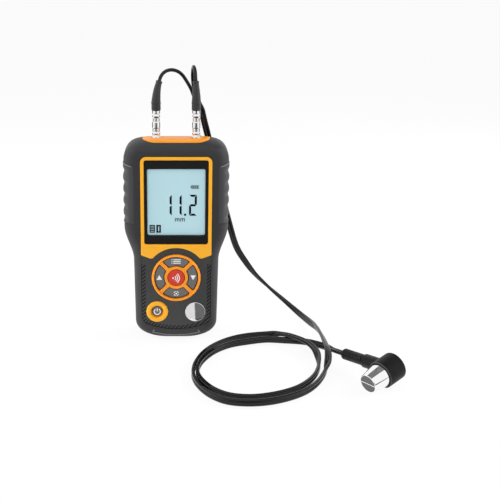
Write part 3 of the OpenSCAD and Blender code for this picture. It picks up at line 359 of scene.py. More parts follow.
# Case shells: two deep halves of charcoal ABS, injection moulded with a fine spark-eroded grain that looks matt.
# They meet on a plane behind the middle, where a narrow groove shows, and four screws pull them together.
abs_grain = moulded("moulded ABS, charcoal", "#2e2e30", 0.55, 0.45, 0.012, ior=1.45)
case_h, split_y, seam = 146.0, 5.0, 0.15
waist_z, waist_run, foot_r, crown_r = 59, 25, 12, 14
recess_y, panel_half, panel_foot, panel_top = -14.4, 25, 8, 135.2
key_z, row_z, row_x, hub_r, coin_r = 47.5, 21.6, 13.75, 6.3, 7.4
grip_x, grip_y, tab_x = 28, -7, 10.8


def arc_in(u, r):
    return 0.0 if u >= r else r - math.sqrt(r * r - (r - u) ** 2)


def case_half(z):
    """Half width and half depth of the case at the height z."""
    side = 29.5 + z / waist_z if z < waist_z else 30.5 + 6.5 * soft_step(z, waist_z, waist_run)
    top = case_h - z
    crown = 1.0 if top >= 7 else math.sqrt(1 - (1 - top / 7) ** 2)
    return side - arc_in(top, crown_r) - arc_in(z, foot_r) * 20 / foot_r, 4 + 12 * crown - arc_in(z, 7)


def heights(low, high):
    """The levels of the case's sections, close together where the case is round."""
    bend = [1 - math.cos(math.radians(9 * i)) for i in range(11)]
    return ([low + foot_r * b for b in bend] + [waist_z + waist_run * i / 12 for i in range(13)]
            + [high - crown_r * b for b in bend[::-1]])


def case_rings(levels, side_in=0.0, front_in=0.0, back_in=0.0, steps=10, drop=0.0):
    """Sections of the case, each a rounded rectangle, with the skin moved in or the whole moved down."""
    rings = []
    for z in levels:
        wide, deep = case_half(z)
        wide, front, back = wide - side_in, front_in - deep, deep - back_in
        r = min(max(9 - side_in, 1), 0.95 * (back - front) / 2)
        x, low, high = wide - r, front + r, back - r
        ring = []
        for q, spot in enumerate(((x, high), (-x, high), (-x, low), (x, low))):
            ring += [(a, b, z - drop) for a, b in arc(*spot, r, 90 * q, 90 * q + 90, steps)]
        rings.append(ring)
    return rings


def fixed(obj):
    """Turns an object with modifiers into a plain mesh."""
    mesh = bpy.data.meshes.new_from_object(obj.evaluated_get(bpy.context.evaluated_depsgraph_get()))
    obj.modifiers.clear()
    obj.data = mesh
    return obj


def carve(obj, *solids, how="DIFFERENCE", tool=None, dress="INDEX"):
    """Cuts solids or a made tool out of an object, or keeps or adds them, and takes the tool away."""
    tool = tool or made("tool", None, *solids)
    cut = obj.modifiers.new("cut", "BOOLEAN")
    cut.operation, cut.solver, cut.object, cut.material_mode = how, "EXACT", tool, dress
    fixed(obj)
    bpy.data.objects.remove(tool)
    return obj


def prism(outline, y0, y1):
    """A drawing in X and Z, as thick as from y0 to y1."""
    return loft([[(x, y, z) for x, z in outline] for y in (y0, y1)])


def bar(x0, x1, z0, z1):
    return [(x0, z0), (x1, z0), (x1, z1), (x0, z1)]


def frame_line(w, low, high, r_low, r_high, g=0.0):
    """A rectangle in X and Z with rounded corners, larger by g all round."""
    line = []
    for q, (way, z, r) in enumerate(((1, high - r_high, r_high), (-1, high - r_high, r_high),
                                     (-1, low + r_low, r_low), (1, low + r_low, r_low))):
        line += arc(way * (w / 2 - r), z, r + g, 90 * q, 90 * q + 90, 8)
    return line


def disc(x, z, r, sides=64):
    return arc(x, z, r, 0, 360, sides)[:-1]


def sector(r_in, r_out, spoke, turn, steps=16):
    """A quarter of the key cluster in X and Z: between two radii and two slanted spokes."""
    tip, line = spoke / 2 * math.sqrt(2), []
    for r, way in ((r_out, 1), (r_in, -1)):
        x = (math.sqrt(2 * r * r - tip * tip) - tip) / 2
        a = math.degrees(math.atan2(x + tip, x))
        line += arc(0, key_z, r, turn + a, turn + 180 - a, steps)[::way]
    return line


def head_line(g=0.0):
    """The top of the bezel and of its recess, with both upper corners."""
    return frame_line(2 * panel_half, panel_foot, panel_top, 8, 4, g)[:18]


def panel_side(inset, top):
    """The side and foot of the panel from the left to the right: straight, round the corner and along a broad arc."""
    corner, reach = 6.0, 57.0
    cx = panel_half - corner
    cz = panel_foot + reach - math.sqrt((reach - corner) ** 2 - cx ** 2)
    end = math.degrees(math.atan2(cz - panel_foot - reach, -cx))
    left = [(inset - panel_half, top)] + arc(-cx, cz, corner - inset, -180, end, 10)
    left += arc(0, panel_foot + reach, reach - inset, end, -90, 12)[1:]
    return left + [(-x, z) for x, z in left[-2::-1]]


def grip_end(x, top):
    """The height of the grip's lower or upper end, which slants across the side of the head."""
    return 128.2 + 2.2 * (x - 30) / 7 if top else 87.2 - 0.8 * (x - 30) / 7


def shell(name, y, keep):
    """One half of the case: the whole loft, cut along the parting plane and hollowed."""
    obj = made(name, abs_grain, loft(case_rings(heights(0, case_h))))
    bm = bmesh.new()
    bm.from_mesh(obj.data)
    cut = bmesh.ops.bisect_plane(bm, geom=bm.verts[:] + bm.edges[:] + bm.faces[:], plane_co=(0, y * MM, 0),
                                 plane_no=(0, keep, 0), clear_outer=True)
    bmesh.ops.contextual_create(bm, geom=[e for e in cut["geom_cut"] if isinstance(e, bmesh.types.BMEdge)])
    bmesh.ops.recalc_face_normals(bm, faces=bm.faces[:])
    bm.to_mesh(obj.data)
    bm.free()
    return carve(obj, loft(case_rings(heights(2.6, case_h - 4), 2.2, 4.0, 2.2, steps=5)))


front = shell("front_shell", split_y - seam, 1)
inlay = [[(x, y, z) for x, z in head_line(g) + panel_side(-g, 100)]
         for y, g in ((recess_y, 0.1), (-15.7, 0.1), (-16.4, 0.8))]
pocket = [(30, -30)] + arc(grip_x, grip_y, 7.4, -74.3, 0, 10) + [(35.4, 6), (60, 6), (60, -30)]
grips = [loft([[(side * x, y, grip_end(x, top)) for x, y in pocket] for top in (0, 1)]) for side in (-1, 1)]
carve(front, loft(inlay), *grips)
quarters, key_gap, view_line = (0, 90, 180, 270), (8.5, 15.75, 2.7), (41, 78.6, 126.6, 1.5, 1.5)
holes = [sector(*key_gap, turn) for turn in quarters]
holes += [disc(0, key_z, hub_r), disc(-row_x, row_z, 3.9), disc(row_x, row_z, coin_r), frame_line(*view_line)]
carve(front, *[prism(hole, -14.6, -10) for hole in holes])
plate_line = [(x, min(y, split_y - seam)) for x, y in frame_line(47.5, -11.5, 11.5, 9.5, 9.5)]


def plate_block(grow):
    """The place of the connector plate: its outline, from the skin of the case down to its thickness."""
    wide, deep = 1 + grow / 23.75, 1 + grow / 11.5
    zone = made("zone", None, loft([[(x * wide, y * deep, z) for x, y in plate_line] for z in (138, 147)]))
    return carve(zone, loft(case_rings(heights(0, case_h), drop=1.6)))


carve(front, tool=plate_block(0.35))
settle(front, "case_plastic", "front_case", sharp=32)

back = shell("back_shell", split_y + seam, -1)
carve(back, prism(bar(-18.6, 18.6, 12.6, 64.8), 1.2, 14.4), how="UNION")
carve(back, prism(bar(-17.2, 17.2, 14, 63.4), 2.6, 18))
carve(back, prism(frame_line(38, 12, 64.6, 0.5, 3, 0.4), 13.7, 18))
carve(back, *[prism(bar(x - 3.4, x + 3.4, 9.4, 14.9), 10.4, 13.75) for x in (-tab_x, tab_x)])
screw_spots = ((-27, 132), (27, 132), (-24, 18), (24, 18))
carve(back, *[prism(disc(x, z, 2.8, 32), 11.4, 18) for x, z in screw_spots])
settle(back, "case_plastic", "back_case", sharp=32)

# Chin bead: a fine raised line along the lower edge of the front shell, with slanted ends, moulded with the shell.
# It is half sunk in the skin. Its light grey is a painted highlight, as if its upper side caught the light.
half_bead = [(-15.91, -15.99, 7.5), (-16.79, -15.97, 6.4), (-17.24, -15.85, 5.57), (-15.49, -15.77, 5.22),
             (-13.31, -15.6, 4.68), (-10.39, -15.32, 4.01), (-6.73, -15.07, 3.52), (-3.08, -14.95, 3.31),
             (0, -14.87, 3.2)]
bead = [Vector(p) for p in half_bead + [(-x, y, z) for x, y, z in half_bead[-2::-1]]]
# Painted highlight: a light grey that stands in for the light on the chin bead and on the grips' upper edges.
painted_highlight = moulded("moulded ABS, painted highlight", "#7c7c7e", 0.35, 0.45, 0.02, ior=1.45)
settle(made("chin_bead", painted_highlight, tube(bead, 0.34, 10)), "case_plastic", sharp=50)

# Side grips: two inlays of soft TPE, moulded over the sides of the head, with five scallops for the fingers.
# They lie flush in pockets of the front shell, so only fine seams above and below them show.
# The rubber is as dull as the case and a little paler.
tpe = moulded("moulded TPE rubber, charcoal", "#3a3a3c", 0.5, 0.35, 0.012, ior=1.45)
grip_low, pitch = 86.4, 8.36


def grip_ring(v, inset):
    """The grip's section at a share of its height: the skin with a scallop's dip, then the side in the pocket."""
    skin = arc(grip_x, grip_y, 9, -77.3, 0, 20) + [(37, -4), (37, 0), (37, 4.7)]
    bed = [(35.5, 4.7)] + arc(grip_x, grip_y, 7.5, 0, -74.7, 10)
    ring = []
    for k, (x, y) in enumerate(skin + bed):
        z = grip_end(x, 0) + v * (grip_end(x, 1) - grip_end(x, 0))
        if k < len(skin):
            off = abs((z - grip_low) % pitch - pitch / 2) if z < grip_low + 5 * pitch else pitch
            dip = 0.45 * (1 + math.cos(math.pi * min(1.0, off / 3.3))) + inset
            x += 0.4 * share(x, 30, 3) - max(dip * soft_step(x, 32.5, 4.5), inset)
        ring.append((x, y, z))
    return ring


ends = ((0.004, 0.9), (0.012, 0.42), (0.022, 0.1))
levels = [*ends] + [(0.03 + 0.94 * i / 70, 0.0) for i in range(71)] + [(1 - v, inset) for v, inset in ends[::-1]]
for name, side in (("side_grip_left", -1), ("side_grip_right", 1)):
    rings = [[(side * x, y, z) for x, y, z in grip_ring(v, inset)] for v, inset in levels]
    settle(made(name + "_inlay", tpe, loft(rings)), "grip_rubber", name, sharp=40)
    # A thin tube along each grip's upper end, in the grey of the painted highlight: a painted light line on the seam.
    edge = [Vector((side * x, y, z)) for x, y, z in grip_ring(0.99, 0.1)[2:22]]
    settle(made(name + "_edge", painted_highlight, tube(edge, 0.26, 8)), "grip_rubber", sharp=50)

# Bezel: an orange ABS frame round the window, moulded with rounded edges and snapped into the front shell.
# Its lower edge has two feet and an arch that goes round the key cluster. Its skin is smooth, with a soft sheen.
orange = moulded("moulded ABS, orange", "#ffb31f", 0.36, 0.5, 0.015, tint=0.05)
through, pane_line = (-18, -14), (45, 72.5, 132.8, 1.5, 1.5)


def softened(obj, width, segments=3, angle=40):
    """Rounds all edges that are sharper than the angle."""
    rounding = obj.modifiers.new("rounding", "BEVEL")
    rounding.width, rounding.segments = width * MM, segments
    rounding.limit_method, rounding.angle_limit = "ANGLE", math.radians(angle)
    return fixed(obj)


def evened(obj):
    """Shades a softened object so that its flats stay flat."""
    shaded(obj)
    obj.modifiers.new("flat", "WEIGHTED_NORMAL").keep_sharp = True
    return fixed(obj)


def arch(r, gap):
    """The bezel's lower edge from right to left: foot, arch and foot, lower by the gap."""
    low = 61.9 - gap
    a = math.degrees(math.asin((low - key_z) / r))
    return ([(panel_half, 64.4 - gap), (18.6, low)] + arc(0, key_z, r, a, 180 - a, 40)
            + [(-18.6, low), (-panel_half, 64.4 - gap)])


bezel = made("window_bezel_frame", orange, prism(head_line() + arch(22.2, 0)[::-1], -16.6, recess_y))
carve(bezel, prism(frame_line(*pane_line, 0.1), *through))
settle(evened(softened(bezel, 0.4)), "orange_plastic", "window_bezel")

# Window: a cut acrylic pane, printed black on its back round a clear view, and stuck into the bezel.
# Print and pane make a deep gloss black border. The clear part hardly shows.
black_print = moulded("acrylic with black print", "#1f1f1f", 0.2, 1.5, 0.002, tint=0.08, ior=1.3)
mask = made("window_print", black_print, prism(frame_line(*pane_line), -15.8, recess_y))
carve(mask, prism(frame_line(*view_line), *through))
settle(evened(softened(mask, 0.15, 2)), "window_plastic", "display_window")
clear = moulded("clear acrylic", "#0b0d0d", 0.1, 2.0, 0.001, tint=0.02, ior=1.12)
feed(clear.node_tree.nodes["Principled BSDF"], {"Alpha": 0.05})
settle(made("window_pane", clear, prism(frame_line(*view_line, -0.05), -15.7, -15.0)), "window_plastic")

# Display: a liquid-crystal cell in the opening of the wall, with its dark segments drawn just behind the pane.
# The reading, its unit, a battery sign and two store signs are plain segment shapes.
segment_ink = moulded("liquid-crystal segment, dark", "#0a1322", 0.5, 0.5, 0.001, tint=0.1, ior=1.15)


def finish(material, *names):
    """Gives CAD nodes a better material."""
    for name in names:
        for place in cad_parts[name].material_slots:
            place.material = material


def finishes(*looks):
    """Gives each CAD node its own moulded material."""
    for name, *look in looks:
        finish(moulded(*look), name)


finishes(("lcd_panel", "liquid-crystal glass, pale blue", "#ccf2fb", 0.4, 0.4, 0.002, 0.02, 1.2))
digit_w, digit_h, stroke, slit = 5.5, 15.2, 1.5, 0.22
half = digit_h / 2
upper = [(digit_w, digit_h - slit), (digit_w, half + slit), (digit_w - stroke, half + stroke / 2 + slit),
         (digit_w - stroke, digit_h - stroke - slit)]
head = [(slit, digit_h), (digit_w - slit, digit_h), (digit_w - stroke - slit, digit_h - stroke),
        (stroke + slit, digit_h - stroke)]
waist = [(0.4, half), (1.2, half + stroke / 2), (digit_w - 1.2, half + stroke / 2), (digit_w - 0.4, half),
         (digit_w - 1.2, half - stroke / 2), (1.2, half - stroke / 2)]
lower = [(x, digit_h - z) for x, z in upper]
lower_left = [(digit_w - x, z) for x, z in lower]
foot = [(x, digit_h - z) for x, z in head]
letter_m = [(0, 0), (0, 2.3), (3.2, 2.3), (3.2, 0), (2.65, 0), (2.65, 1.75), (1.88, 1.75), (1.88, 0), (1.32, 0),
            (1.32, 1.75), (0.55, 1.75), (0.55, 0)]
digit_z, unit_z, store_z, store_top = 92.9, 88.7, 80.5, 86.2
marks = []
for left, strokes in ((-8.6, (upper, lower)), (-1.65, (upper, lower)),
                      (9.0, (head, upper, waist, lower_left, foot))):
    marks += [[(left + x, digit_z + z) for x, z in line] for line in strokes]
marks.append(bar(5.5, 7.0, digit_z, digit_z + stroke))
marks += [[(left + x, unit_z + z) for x, z in letter_m] for left in (-0.9, 2.9)]
marks += [bar(*sides) for sides in (
    (10.6, 15.8, 114.6, 114.9), (10.6, 15.8, 112.3, 112.6), (15.5, 15.8, 112.6, 114.6), (10.6, 10.9, 112.6, 114.6),
    (10.1, 10.6, 113.1, 114.1), (11.3, 12.3, 112.9, 114.3), (12.7, 13.7, 112.9, 114.3), (14.1, 15.1, 112.9, 114.3),
    (-18.8, -18.2, store_z, store_top), (-15.6, -15.0, store_z, store_top))]
marks += [bar(-18.2, -15.6, store_z + 1.22 * i, store_z + 0.82 + 1.22 * i) for i in range(5)]
marks += [bar(-14.1, -12.8, store_z, store_top), bar(-12.0, -10.8, store_z, store_top),
          bar(-12.8, -12.0, store_z, store_z + 1), bar(-12.8, -12.0, store_top - 1, store_top)]
settle(made("display_segments", segment_ink, *[prism(line, -14.26, -14.19) for line in marks]), "lcd_glass")

# Inside: the white light guide behind the display, the glass-fibre board with two chips and the silicone key mat.
# They are stamped, milled and moulded parts that the shells hide.
finishes(("backlight", "moulded polycarbonate, white", "#f0f0ec", 0.4, 0.8, 0.01, 0.03),
         ("main_board", "glass-fibre laminate, green", "#1f6b3a", 0.45, 0.3, 0.02, 0.2),
         ("key_mat", "silicone rubber, grey", "#8f9092", 0.6, 0.4, 0.02))

# Lower panel: a charcoal ABS plate with a collar round the keys, snapped in below the bezel.
# A sunken band along its sides and its curved foot has slanted ribs, moulded with the plate. The skin is satin.
# The same charcoal also paints a highlight on the chamfer of the probe cap's front edge.
panel_abs_and_cap_highlight = moulded("moulded ABS, dark charcoal", "#3d3e3e", 0.45, 0.45, 0.02, ior=1.4)
# Painted shade: the floor of the sunken band is drawn near black, as the groove lies in shade.
groove_shade_abs = moulded("moulded ABS, painted shade in the groove", "#151516", 0.65, 0.45, 0.04, ior=1.3)
panel = made("lower_panel_plate", panel_abs_and_cap_highlight, prism(panel_side(0, 64.2)[1:-1] + arch(22.0, 0.2), -16.0, recess_y))
gaps = (disc(0, key_z, 17.6, 128), disc(-row_x, row_z, 8.0), disc(row_x, row_z, coin_r))
carve(panel, *[prism(gap, *through) for gap in gaps])


def band(edge, deep, steep):
    """The space of the sunken band: deep at the outer edge, and sloping up to the face of the panel."""
    lines = zip(panel_side(edge, 57.6), panel_side(2.9, 57.6))
    return loft([[(a, -17, c), (a, deep, c), (b, steep, d), (b, -17, d)] for (a, c), (b, d) in lines])


carve(panel, tool=made("groove", groove_shade_abs, band(-0.3, -15.15, -15.99)), dress="TRANSFER")
settle(evened(softened(panel, 0.22, 2)), "panel_plastic", "lower_panel")


def node_tree(name, **inputs):
    """A Geometry Nodes tree with named inputs, and its input sockets."""
    tree = bpy.data.node_groups.new(name, "GeometryNodeTree")
    tree.interface.new_socket("Geometry", in_out="INPUT", socket_type="NodeSocketGeometry")
    for label, kind in (*inputs.items(), ("Material", "Material")):
        tree.interface.new_socket(label, in_out="INPUT", socket_type="NodeSocket" + kind)
    tree.interface.new_socket("Geometry", in_out="OUTPUT", socket_type="NodeSocketGeometry")
    return tree, put(tree, "NodeGroupInput").outputs


def on_points(tree, given, instance, **turn):
    """The end of every tree: an instance on each point, made real, with its material."""
    points = put(tree, "GeometryNodeMeshToPoints", {"Mesh": given["Geometry"]})
    copies = put(tree, "GeometryNodeInstanceOnPoints", {"Points": points.outputs["Points"], "Instance": instance,
                                                        **turn})
    real = put(tree, "GeometryNodeRealizeInstances", {"Geometry": copies.outputs["Instances"]})
    dressed = put(tree, "GeometryNodeSetMaterial", {"Geometry": real.outputs["Geometry"],
                                                    "Material": given["Material"]})
    put(tree, "NodeGroupOutput", {"Geometry": dressed.outputs["Geometry"]})


def grown(name, tree, points, flips=(), **values):
    """What a tree makes from points in millimetres, as a plain mesh. Each point may have a flip in radians."""
    mesh = bpy.data.meshes.new(name)
    mesh.from_pydata([Vector(p) * MM for p in points], [], [])
    if flips:
        mesh.attributes.new("flip", "FLOAT", "POINT").data.foreach_set("value", flips)
    obj = linked(name, mesh)
    nodes = obj.modifiers.new("nodes", "NODES")
    nodes.node_group = tree
    for item in tree.interface.items_tree:
        if item.in_out == "INPUT" and item.name in values:
            nodes[item.identifier] = values[item.name]
    return fixed(obj)


tree, given = node_tree("slanted_ribs", Size="Vector", Slant="Float")
lean = put(tree, "FunctionNodeAxisAngleToRotation", {"Axis": (0, -1, 0), "Angle": given["Slant"]})
rib = put(tree, "GeometryNodeMeshCube", {"Size": given["Size"]})
on_points(tree, given, rib.outputs["Mesh"], Rotation=lean.outputs["Rotation"])
ribs = grown("panel_ribs", tree, [(2.95 * i, -15.58, 32) for i in range(-22, 23)],
             Size=(110 * MM, 0.76 * MM, 1.15 * MM), Slant=math.radians(43), Material=panel_abs_and_cap_highlight)
carve(ribs, band(0.4, -15.1, -15.94), how="INTERSECT")
settle(ribs, "panel_plastic")

# Key frame: an orange ABS spider with a raised round rim, a hub and four spokes, between which the keys stand.
# It is moulded in one piece, in a deeper orange than the bezel, and pressed into the panel.
# This deeper orange is also painted on the power ring's inner slope as shade.
frame_orange_and_ring_shade = moulded("moulded ABS, deep orange", "#ff9c1a", 0.34, 0.5, 0.015, tint=0.05)
forward, upward = (0, -1, 0), (0, 0, 1)


def rounded(line, r):
    """A drawing with its sharp corners rounded off."""
    soft = []
    for k, spot in enumerate(line):
        p, a, b = Vector(spot), Vector(line[k - 1]), Vector(line[(k + 1) % len(line)])
        if (p - a).angle(b - p) < math.radians(30):
            soft.append(spot)
            continue
        a, b = [p + (q - p).normalized() * min(r, 0.9 * (q - p).length) for q in (a, b)]
        soft += [tuple(a.lerp(p, t).lerp(p.lerp(b, t), t)) for t in (0, 0.25, 0.5, 0.75, 1)]
    return soft


def turned(profile, spot, axis, sides=64, ring=False):
    """A turned solid: radii and heights along an axis. A ring's profile is closed, and has no ends."""
    axis = Vector(axis).normalized()
    across = axis.orthogonal().normalized()
    up = axis.cross(across)
    circle = [across * a + up * b for a, b in disc(0, 0, 1, sides)]
    rings = [[Vector(spot) + axis * h + way * r for way in circle] for r, h in profile]
    if not ring:
        return loft(rings)
    verts, faces = loft(rings + rings[:1])
    last = len(rings) * sides
    return verts[:last], [[i % last for i in face] for face in faces[2:]]


def rounded_end(r, r0, h):
    """A quarter round of radius r, that starts straight up at the radius r0 and height h."""
    return arc(r0 - r, h, r, 0, 90, 6)


spider = made("key_frame_spider", frame_orange_and_ring_shade, prism(disc(0, key_z, 16.65, 128), -16.4, recess_y))
gaps = [rounded(sector(*key_gap, turn, 10), 1.2) for turn in quarters] + [disc(0, key_z, hub_r)]
carve(spider, *[prism(gap, *through) for gap in gaps])
softened(spider, 0.3, 3, 50)
rim = [(15.75, 0), (17.5, 0), (17.5, 2.4)] + arc(16.625, 2.425, 0.875, 0, 180, 14)[1:-1] + [(15.75, 2.4)]
carve(spider, turned(rim, (0, recess_y, key_z), forward, 128, ring=True), how="UNION")
settle(evened(spider), "orange_plastic", "key_frame")

# Keys: four sector keys of grey silicone and a red one in the middle, moulded with soft edges, a flange and a
# plunger. Each stands in its opening of the frame and is pressed against its dome. Their signs are printed in white.
# The rubber looks dull and soft.
key_rubber = moulded("silicone rubber, key grey", "#6b6b6d", 0.55, 0.3, 0.02, tint=0.06)
red_rubber = moulded("silicone rubber, red", "#d0351f", 0.5, 0.3, 0.02, tint=0.05)
white_ink = moulded("printed ink, white", "#f4f4f2", 0.5, 0.3, 0.002, tint=0.03)


def ring_line(x, z, r, width, start, stop, steps):
    """Part of a flat ring in X and Z, between two angles in degrees."""
    return arc(x, z, r, start, stop, steps) + arc(x, z, r - width, start, stop, steps)[::-1]


def printed(name, top_y, lines):
    """The sign on a key, a little proud of its top."""
    ink = made(name + "_sign", white_ink, *[prism(line, top_y - 0.03, top_y + 0.1) for line in lines])
    settle(ink, "white_plastic", body=name)


key_r, key_top_y, flange_y = 12.125, -15.9, -11.9
top_z, low_z = key_z + key_r, key_z - key_r
signs = {
    "key_top": [bar(a, b, top_z + d - 0.3, top_z + d + 0.3) for a, b in ((-2.0, 3.2), (-3.3, -2.7))
                for d in (-1.3, 0, 1.3)],
    "key_left": [[(-key_r - 1.95, key_z - 1.7), (-key_r + 1.95, key_z - 1.7), (-key_r, key_z + 1.9)]],
    "key_bottom": [ring_line(0, low_z, 1.9, 0.5, a + 15, a + 75, 8) for a in quarters] + [disc(0, low_z, 0.6, 20)],
    "key_right": [[(key_r - 1.95, key_z + 1.7), (key_r + 1.95, key_z + 1.7), (key_r, key_z - 1.9)]],
}
for (name, sign), turn in zip(signs.items(), quarters):
    key = made(name + "_cap", key_rubber, prism(rounded(sector(9.0, 15.15, 3.7, turn, 10), 1.0), key_top_y, -11.4))
    softened(key, 0.4)
    carve(key, prism(sector(8.0, 16.25, 1.7, turn), flange_y, -10.9), how="UNION")
    way = math.radians(turn)
    plunger = disc(-key_r * math.sin(way), key_z + key_r * math.cos(way), 2.0, 32)
    carve(key, prism(plunger, -11.2, -8.2), how="UNION")
    settle(evened(key), "key_rubber", name, body=name)
    printed(name, key_top_y, sign)

plunger = [(2.0, -3.7), (2.0, -1.0)]
profile = plunger + [(6.8, -1.0), (6.8, 0), (6.0, 0), (6.0, 4.1)] + rounded_end(0.6, 6.0, 4.1)[1:-1]
profile += [(5.3, 4.7), (2.5, 4.7)]
red = made("key_centre_cap", red_rubber, turned(profile, (0, flange_y, key_z), forward))
settle(evened(red), "red_rubber", "key_centre", body="key_centre")
wave_x, wave_z = -2.2, key_z - 0.2
printed("key_centre", -16.6, [disc(wave_x, wave_z, 0.65, 20)]
        + [ring_line(wave_x, wave_z, r, 0.55, -48, 48, 12) for r in (2.2, 3.5, 4.8)])

# Power key: a round grey key inside a domed orange ring, with the usual sign for on and off.
# The ring is moulded ABS and pressed into the panel; the key is silicone.
dome = [(3.9, 0), (7.9, 0), (7.9, 1.7), (7.78, 2.15), (7.45, 2.5), (6.9, 2.72), (6.3, 2.78), (5.6, 2.7), (5.1, 2.5),
        (4.75, 2.15), (3.95, 0.9)]
ring = made("power_ring_dome", orange, turned(dome, (-row_x, recess_y, row_z), forward, 96, ring=True))


def painted(obj, material, test):
    """Gives another material to the faces whose middle, in metres, passes the test."""
    obj.data.materials.append(material)
    for face in obj.data.polygons:
        if test(face.center):
            face.material_index = len(obj.data.materials) - 1


# Painted shade: the ring is moulded in one colour, and its inner slope is drawn in the deeper orange.
painted(ring, frame_orange_and_ring_shade, lambda p: math.hypot(p.x / MM + row_x, p.z / MM - row_z) < 4.9)
settle(ring, "orange_plastic", "power_ring", sharp=50)
profile = plunger + [(4.4, -1.0), (4.4, 0), (3.6, 0), (3.6, 3.3)] + rounded_end(0.5, 3.6, 3.3)[1:] + [(1.5, 3.8)]
power = made("key_power_cap", key_rubber, turned(profile, (-row_x, flange_y, row_z), forward))
settle(evened(power), "key_rubber", "key_power", body="key_power")
printed("key_power", -15.7, [ring_line(-row_x, row_z - 0.2, 2.5, 0.6, 122, 418, 32),
                             bar(-row_x - 0.32, -row_x + 0.32, row_z, row_z + 2.5)])

# Test block: a steel disc of known thickness on which the probe is set to zero, lapped to a mirror and stuck in.
# It mirrors the white and the grey card before it, with a faint haze of use.
profile = [(7.3, 0)] + rounded_end(0.4, 7.3, 3.6)


def metal(name, colour, roughness, grain_mm, stretch, depth_mm):
    """A bare or plated metal: fine tool marks that are long in one direction, and gloss that changes a little."""
    material, tree, shader = plain(name)
    where = put(tree, "ShaderNodeTexCoord").outputs["Object"]
    drawn = put(tree, "ShaderNodeMapping", {"Vector": where, "Scale": stretch}).outputs["Vector"]
    # Real tool marks of some hundredths of a millimetre are too fine to show, so they are drawn coarser.
    cuts = put(tree, "ShaderNodeTexNoise", {"Vector": drawn, "Scale": 1 / (grain_mm * MM), "Detail": 4.0})
    haze = put(tree, "ShaderNodeTexNoise", {"Vector": where, "Scale": 1 / (4 * MM), "Detail": 3.0})
    cuts, haze = cuts.outputs["Fac"], haze.outputs["Fac"]
    surface(tree, shader, colour, cuts, (0.93, 1.05), haze, (roughness * 0.7, roughness * 1.4), cuts, (0.5, depth_mm))
    feed(shader, {"Metallic": 1.0})
    return material


lapped_steel = metal("lapped steel", "#f0f0f1", 0.04, 0.6, (1, 1, 1), 0.001)
coin = made("test_block_disc", lapped_steel, turned(profile, (row_x, -12.9, row_z), forward, 96))
settle(evened(coin), "test_steel", "test_block")

# Connector plate: an orange ABS cap, let into the crown of the front shell, through which the sockets are screwed.
# It follows the round of the case, so it shows as a smooth amber bow along the top.
plug_x = 14
plate = plate_block(0)
carve(plate, loft(case_rings(heights(0, case_h))), how="INTERSECT")
carve(plate, *[turned([(2.6, 0), (2.6, 12)], (x, 0, 138), upward, 32) for x in (-plug_x, plug_x)])
plate.name = plate.data.name = "connector_plate_cap"
plate.data.materials.clear()
plate.data.materials.append(moulded("moulded ABS, amber", "#f6980a", 0.36, 0.5, 0.015, tint=0.05, ior=1.36))
settle(plate, "orange_plastic", "connector_plate")

# Sockets and plugs: turned brass, nickel plated and bright. Each socket has a flange and a round nose.
# Each plug has two knurled necks, a grip sleeve, a ball ring and a collar, and locks on its nose.
nickel = metal("nickel plate on turned brass", "#f6f6f7", 0.1, 0.12, (0.15, 0.15, 1), 0.002)
finish(nickel, "socket_nuts", "contact_plates")
finishes(("socket_wires", "PVC wire sheath, red", "#c23b2e", 0.45, 0.3, 0.01))
tree, given = node_tree("knurl_on_points", Axis="Vector", Size="Vector")
place = put(tree, "GeometryNodeInputPosition").outputs["Position"]
out = put(tree, "ShaderNodeVectorMath", {0: place, 1: given["Axis"]}, operation="SUBTRACT")
level = put(tree, "ShaderNodeVectorMath", {0: out.outputs["Vector"], 1: (1, 1, 0)}, operation="MULTIPLY")
face = put(tree, "FunctionNodeAlignRotationToVector", {"Vector": level.outputs["Vector"]}, axis="X", pivot_axis="Z")
tip = put(tree, "FunctionNodeAxisAngleToRotation", {"Axis": (1, 0, 0), "Angle": math.radians(45)})
stand = put(tree, "FunctionNodeRotateRotation", {"Rotation": face.outputs["Rotation"],
                                                 "Rotate By": tip.outputs["Rotation"]}, rotation_space="LOCAL")
tooth = put(tree, "GeometryNodeMeshCube", {"Size": given["Size"]})
on_points(tree, given, tooth.outputs["Mesh"], Rotation=stand.outputs["Rotation"])
nose = [(2.5, -10), (2.5, 0), (3.7, 0), (3.7, 1.1)] + rounded_end(0.4, 3.7, 1.1)[1:]
nose += [(2.6, 1.6), (2.8, 1.9), (2.95, 2.5), (2.95, 3.4), (2.85, 4.0), (2.6, 4.3)]
barrel = [(2.5, 0), (2.5, 2.3), (2.65, 2.3), (2.9, 2.4), (2.95, 2.7), (2.95, 2.9), (2.95, 6.4), (2.95, 6.6),
          (2.85, 6.95), (2.35, 7.1), (2.35, 9.3)]
barrel += [(2.35 + 0.6 * a, 10.9 - 1.6 * b) for b, a in arc(0, 0, 1, 0, 180, 10)[1:-1]]
barrel += [(2.35, 12.5), (2.7, 12.55), (2.95, 12.8), (2.95, 13.0), (2.95, 14.4), (2.95, 14.6), (2.75, 14.8)]
neck_rows = [(r, z + 0.5 * k, k % 2) for r, z in ((2.5, 150.55), (2.35, 157.65)) for k in range(4)]
for side, x in (("left", -plug_x), ("right", plug_x)):
    for part, profile, z in (("socket_", nose, case_h), ("plug_", barrel, 150.3)):
        body = made(part + side + "_body", nickel, turned(profile, (x, 0, z), upward))
        settle(body, "nickel", part + side, sharp=32)
    dots = [(x + r * math.cos(a), r * math.sin(a), z) for r, z, odd in neck_rows
            for a in (2 * math.pi * (i + odd / 2) / 22 for i in range(22))]
    knurl = grown("plug_" + side + "_knurl", tree, dots, Axis=(x * MM, 0, 0),
                  Size=(0.3 * MM, 0.42 * MM, 0.42 * MM), Material=nickel)
    settle(knurl, "nickel")

